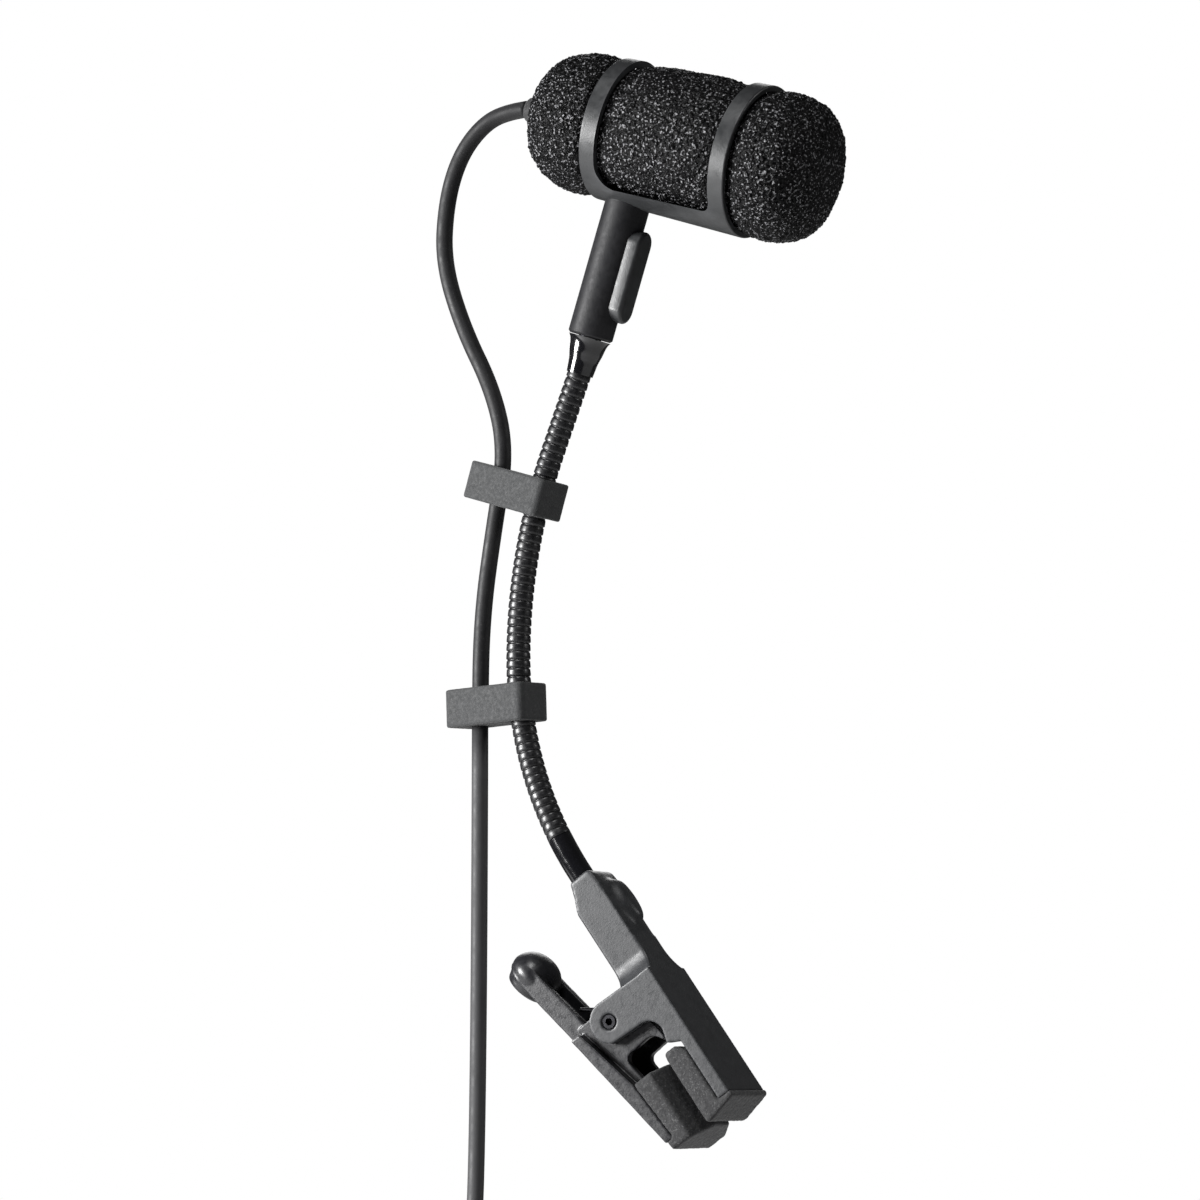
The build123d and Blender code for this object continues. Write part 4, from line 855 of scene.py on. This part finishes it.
def woven_strap():
    """Hook-and-loop strap: a tight weave with stray fibres."""
    shader = Shader("tie_fabric_look", (0.022, 0.022, 0.024), 0.85, specular=0.3)
    for turn in (math.radians(45), math.radians(-45)):
        wave = shader.nodes.new("ShaderNodeTexWave")
        wave.inputs["Scale"].default_value = 1 / (2.4 * MM)
        wave.inputs["Distortion"].default_value = 1.0
        shader.links.new(shader.stretched((1, 1, 1), (turn, 0, turn)), wave.inputs["Vector"])
        shader.bump(wave.outputs["Fac"], 0.15, 0.7)
    shader.tint(shader.ranged(shader.noise(0.4), 0.55, 0.75, 0.0, 0.6), (0.09, 0.09, 0.09))
    shader.surface.inputs["Sheen Weight"].default_value = 0.4
    return shader.material


def circuit_mask():
    """Green solder mask with copper tracks."""
    shader = Shader("board_look", (0.01, 0.09, 0.035), 0.35)
    tracks = shader.ranged(shader.cells(1.4, "DISTANCE_TO_EDGE"), 0.0, 0.08, 0.6, 0.0)
    shader.tint(tracks, (0.30, 0.22, 0.07))
    shader.rough(shader.noise(0.8), 0.28, 0.5)
    shader.bump(shader.noise(0.6), 0.02, 0.5)
    return shader.material


LOOKS = {
    "clip_plastic": moulded_plastic(
        "clip_plastic_look", (0.024, 0.025, 0.027), (0.044, 0.045, 0.048), 0.40, specular=0.45),
    "lever_plastic": moulded_plastic(
        "lever_plastic_look", (0.010, 0.010, 0.012), (0.018, 0.018, 0.020), 0.34),
    "pad_rubber": speckled_rubber(
        "pad_rubber_look", (0.015, 0.015, 0.016), (0.026, 0.026, 0.027), (0.12, 0.12, 0.12)),
    "black_metal": gloss_black("black_metal_look", (0.003, 0.003, 0.004), 0.08),
    "neck_sheath": ribbed_sheath(),
    "cable_clip_rubber": speckled_rubber(
        "cable_clip_look", (0.021, 0.022, 0.023), (0.029, 0.030, 0.031), (0.07, 0.07, 0.07)),
    "sleeve_black": moulded_plastic(
        "sleeve_look", (0.005, 0.005, 0.006), (0.010, 0.010, 0.011), 0.5, specular=0.25),
    "cage_plastic": moulded_plastic("cage_look", (0.020, 0.021, 0.022), (0.034, 0.035, 0.037), 0.36, 0.28),
    "foam": open_foam(),
    "steel": brushed_metal("steel_look", (0.035, 0.035, 0.038), 0.3),
    "black_housing": gloss_black("housing_look", (0.02, 0.02, 0.022), 0.3),
    "capsule_gold": brushed_metal("capsule_look", (0.78, 0.60, 0.28), 0.25),
    "gasket_rubber": speckled_rubber(
        "gasket_look", (0.022, 0.022, 0.023), (0.035, 0.035, 0.036), (0.09, 0.09, 0.09)),
    "board": circuit_mask(),
    "lead_jacket": lead_jacket(),
    "tie_fabric": woven_strap(),
    "connector_metal": brushed_metal("connector_look", (0.62, 0.61, 0.60), 0.24),
    "insert_plastic": moulded_plastic("insert_look", (0.02, 0.02, 0.021), (0.03, 0.03, 0.031), 0.35),
    "contact_gold": brushed_metal("contact_look", (0.83, 0.62, 0.26), 0.2),
}

for entry in frame["record"]["subparts"]:
    data = frame["nodes"][entry["node"]].data
    data.materials.clear()
    data.materials.append(LOOKS[entry["material_slot"]])
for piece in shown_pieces():
    if "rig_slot" in piece:
        piece.data.materials.clear()
        piece.data.materials.append(LOOKS[piece["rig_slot"]])

# ------------------------------------------------------------------ floor and light
FLOOR_DROP = 0.03
FLOOR_RADIUS = 0.8
FLOOR_GLOW = 0.18
ROOM_LIGHT = 0.06
SOFTBOXES = (  # name, azimuth, elevation, distance, size, power
    ("key_light", -50.0, 6.0, 0.75, 0.30, 14.0),
    ("low_light", -14.0, -38.0, 0.6, 0.16, 1.2),
    ("side_light", 105.0, 20.0, 0.7, 0.16, 0.7),
    ("top_light", 10.0, 60.0, 0.7, 0.20, 2.0),
    ("back_light", 205.0, 25.0, 0.8, 0.40, 1.4),
)


def studio():
    """A pale floor, a white room that lights the object softly, and softboxes round it."""
    floor_z = CAD_LOW.z - FLOOR_DROP
    steps = [2 * math.pi * j / 64 for j in range(64)]
    floor = rings_to_mesh("floor", [
        [Vector((radius * math.cos(a), radius * math.sin(a), floor_z)) for a in steps]
        for radius in (1e-4, FLOOR_RADIUS / 2, FLOOR_RADIUS)
    ], closed_ends=False)
    shader = Shader("floor_look", (0.62, 0.62, 0.62), 0.8, specular=0.1)
    shader.tint(shader.ranged(shader.noise(400.0, 1.0), 0.3, 0.7, 0.0, 0.3), (0.58, 0.58, 0.58))
    shader.surface.inputs["Emission Color"].default_value = (1, 1, 1, 1)
    shader.surface.inputs["Emission Strength"].default_value = FLOOR_GLOW
    floor.data.materials.append(shader.material)

    world = bpy.data.worlds.new("room")
    bpy.context.scene.world = world
    world.use_nodes = True
    shown = world.node_tree.nodes["Background"]
    shown.inputs["Color"].default_value = (1, 1, 1, 1)
    shown.inputs["Strength"].default_value = 1.0
    lighting = world.node_tree.nodes.new("ShaderNodeBackground")
    lighting.inputs["Color"].default_value = (1, 1, 1, 1)
    lighting.inputs["Strength"].default_value = ROOM_LIGHT
    ray = world.node_tree.nodes.new("ShaderNodeLightPath")
    mix = world.node_tree.nodes.new("ShaderNodeMixShader")
    link_up = world.node_tree.links.new
    link_up(ray.outputs["Is Camera Ray"], mix.inputs[0])
    link_up(lighting.outputs[0], mix.inputs[1])
    link_up(shown.outputs[0], mix.inputs[2])
    link_up(mix.outputs[0], world.node_tree.nodes["World Output"].inputs["Surface"])

    for name, azimuth, elevation, distance, size, power in SOFTBOXES:
        light_data = bpy.data.lights.new(name, "AREA")
        light_data.size = size
        light_data.energy = power
        light = bpy.data.objects.new(name, light_data)
        bpy.context.scene.collection.objects.link(light)
        a, e = math.radians(azimuth), math.radians(elevation)
        towards = Vector((math.sin(a) * math.cos(e), -math.cos(a) * math.cos(e), math.sin(e)))
        light.location = VIEW_CENTRE + towards * distance
        light.rotation_euler = (-towards).to_track_quat("-Z", "Y").to_euler()
    bpy.context.scene.view_settings.view_transform = "Standard"
    bpy.context.scene.view_settings.look = "None"


studio()
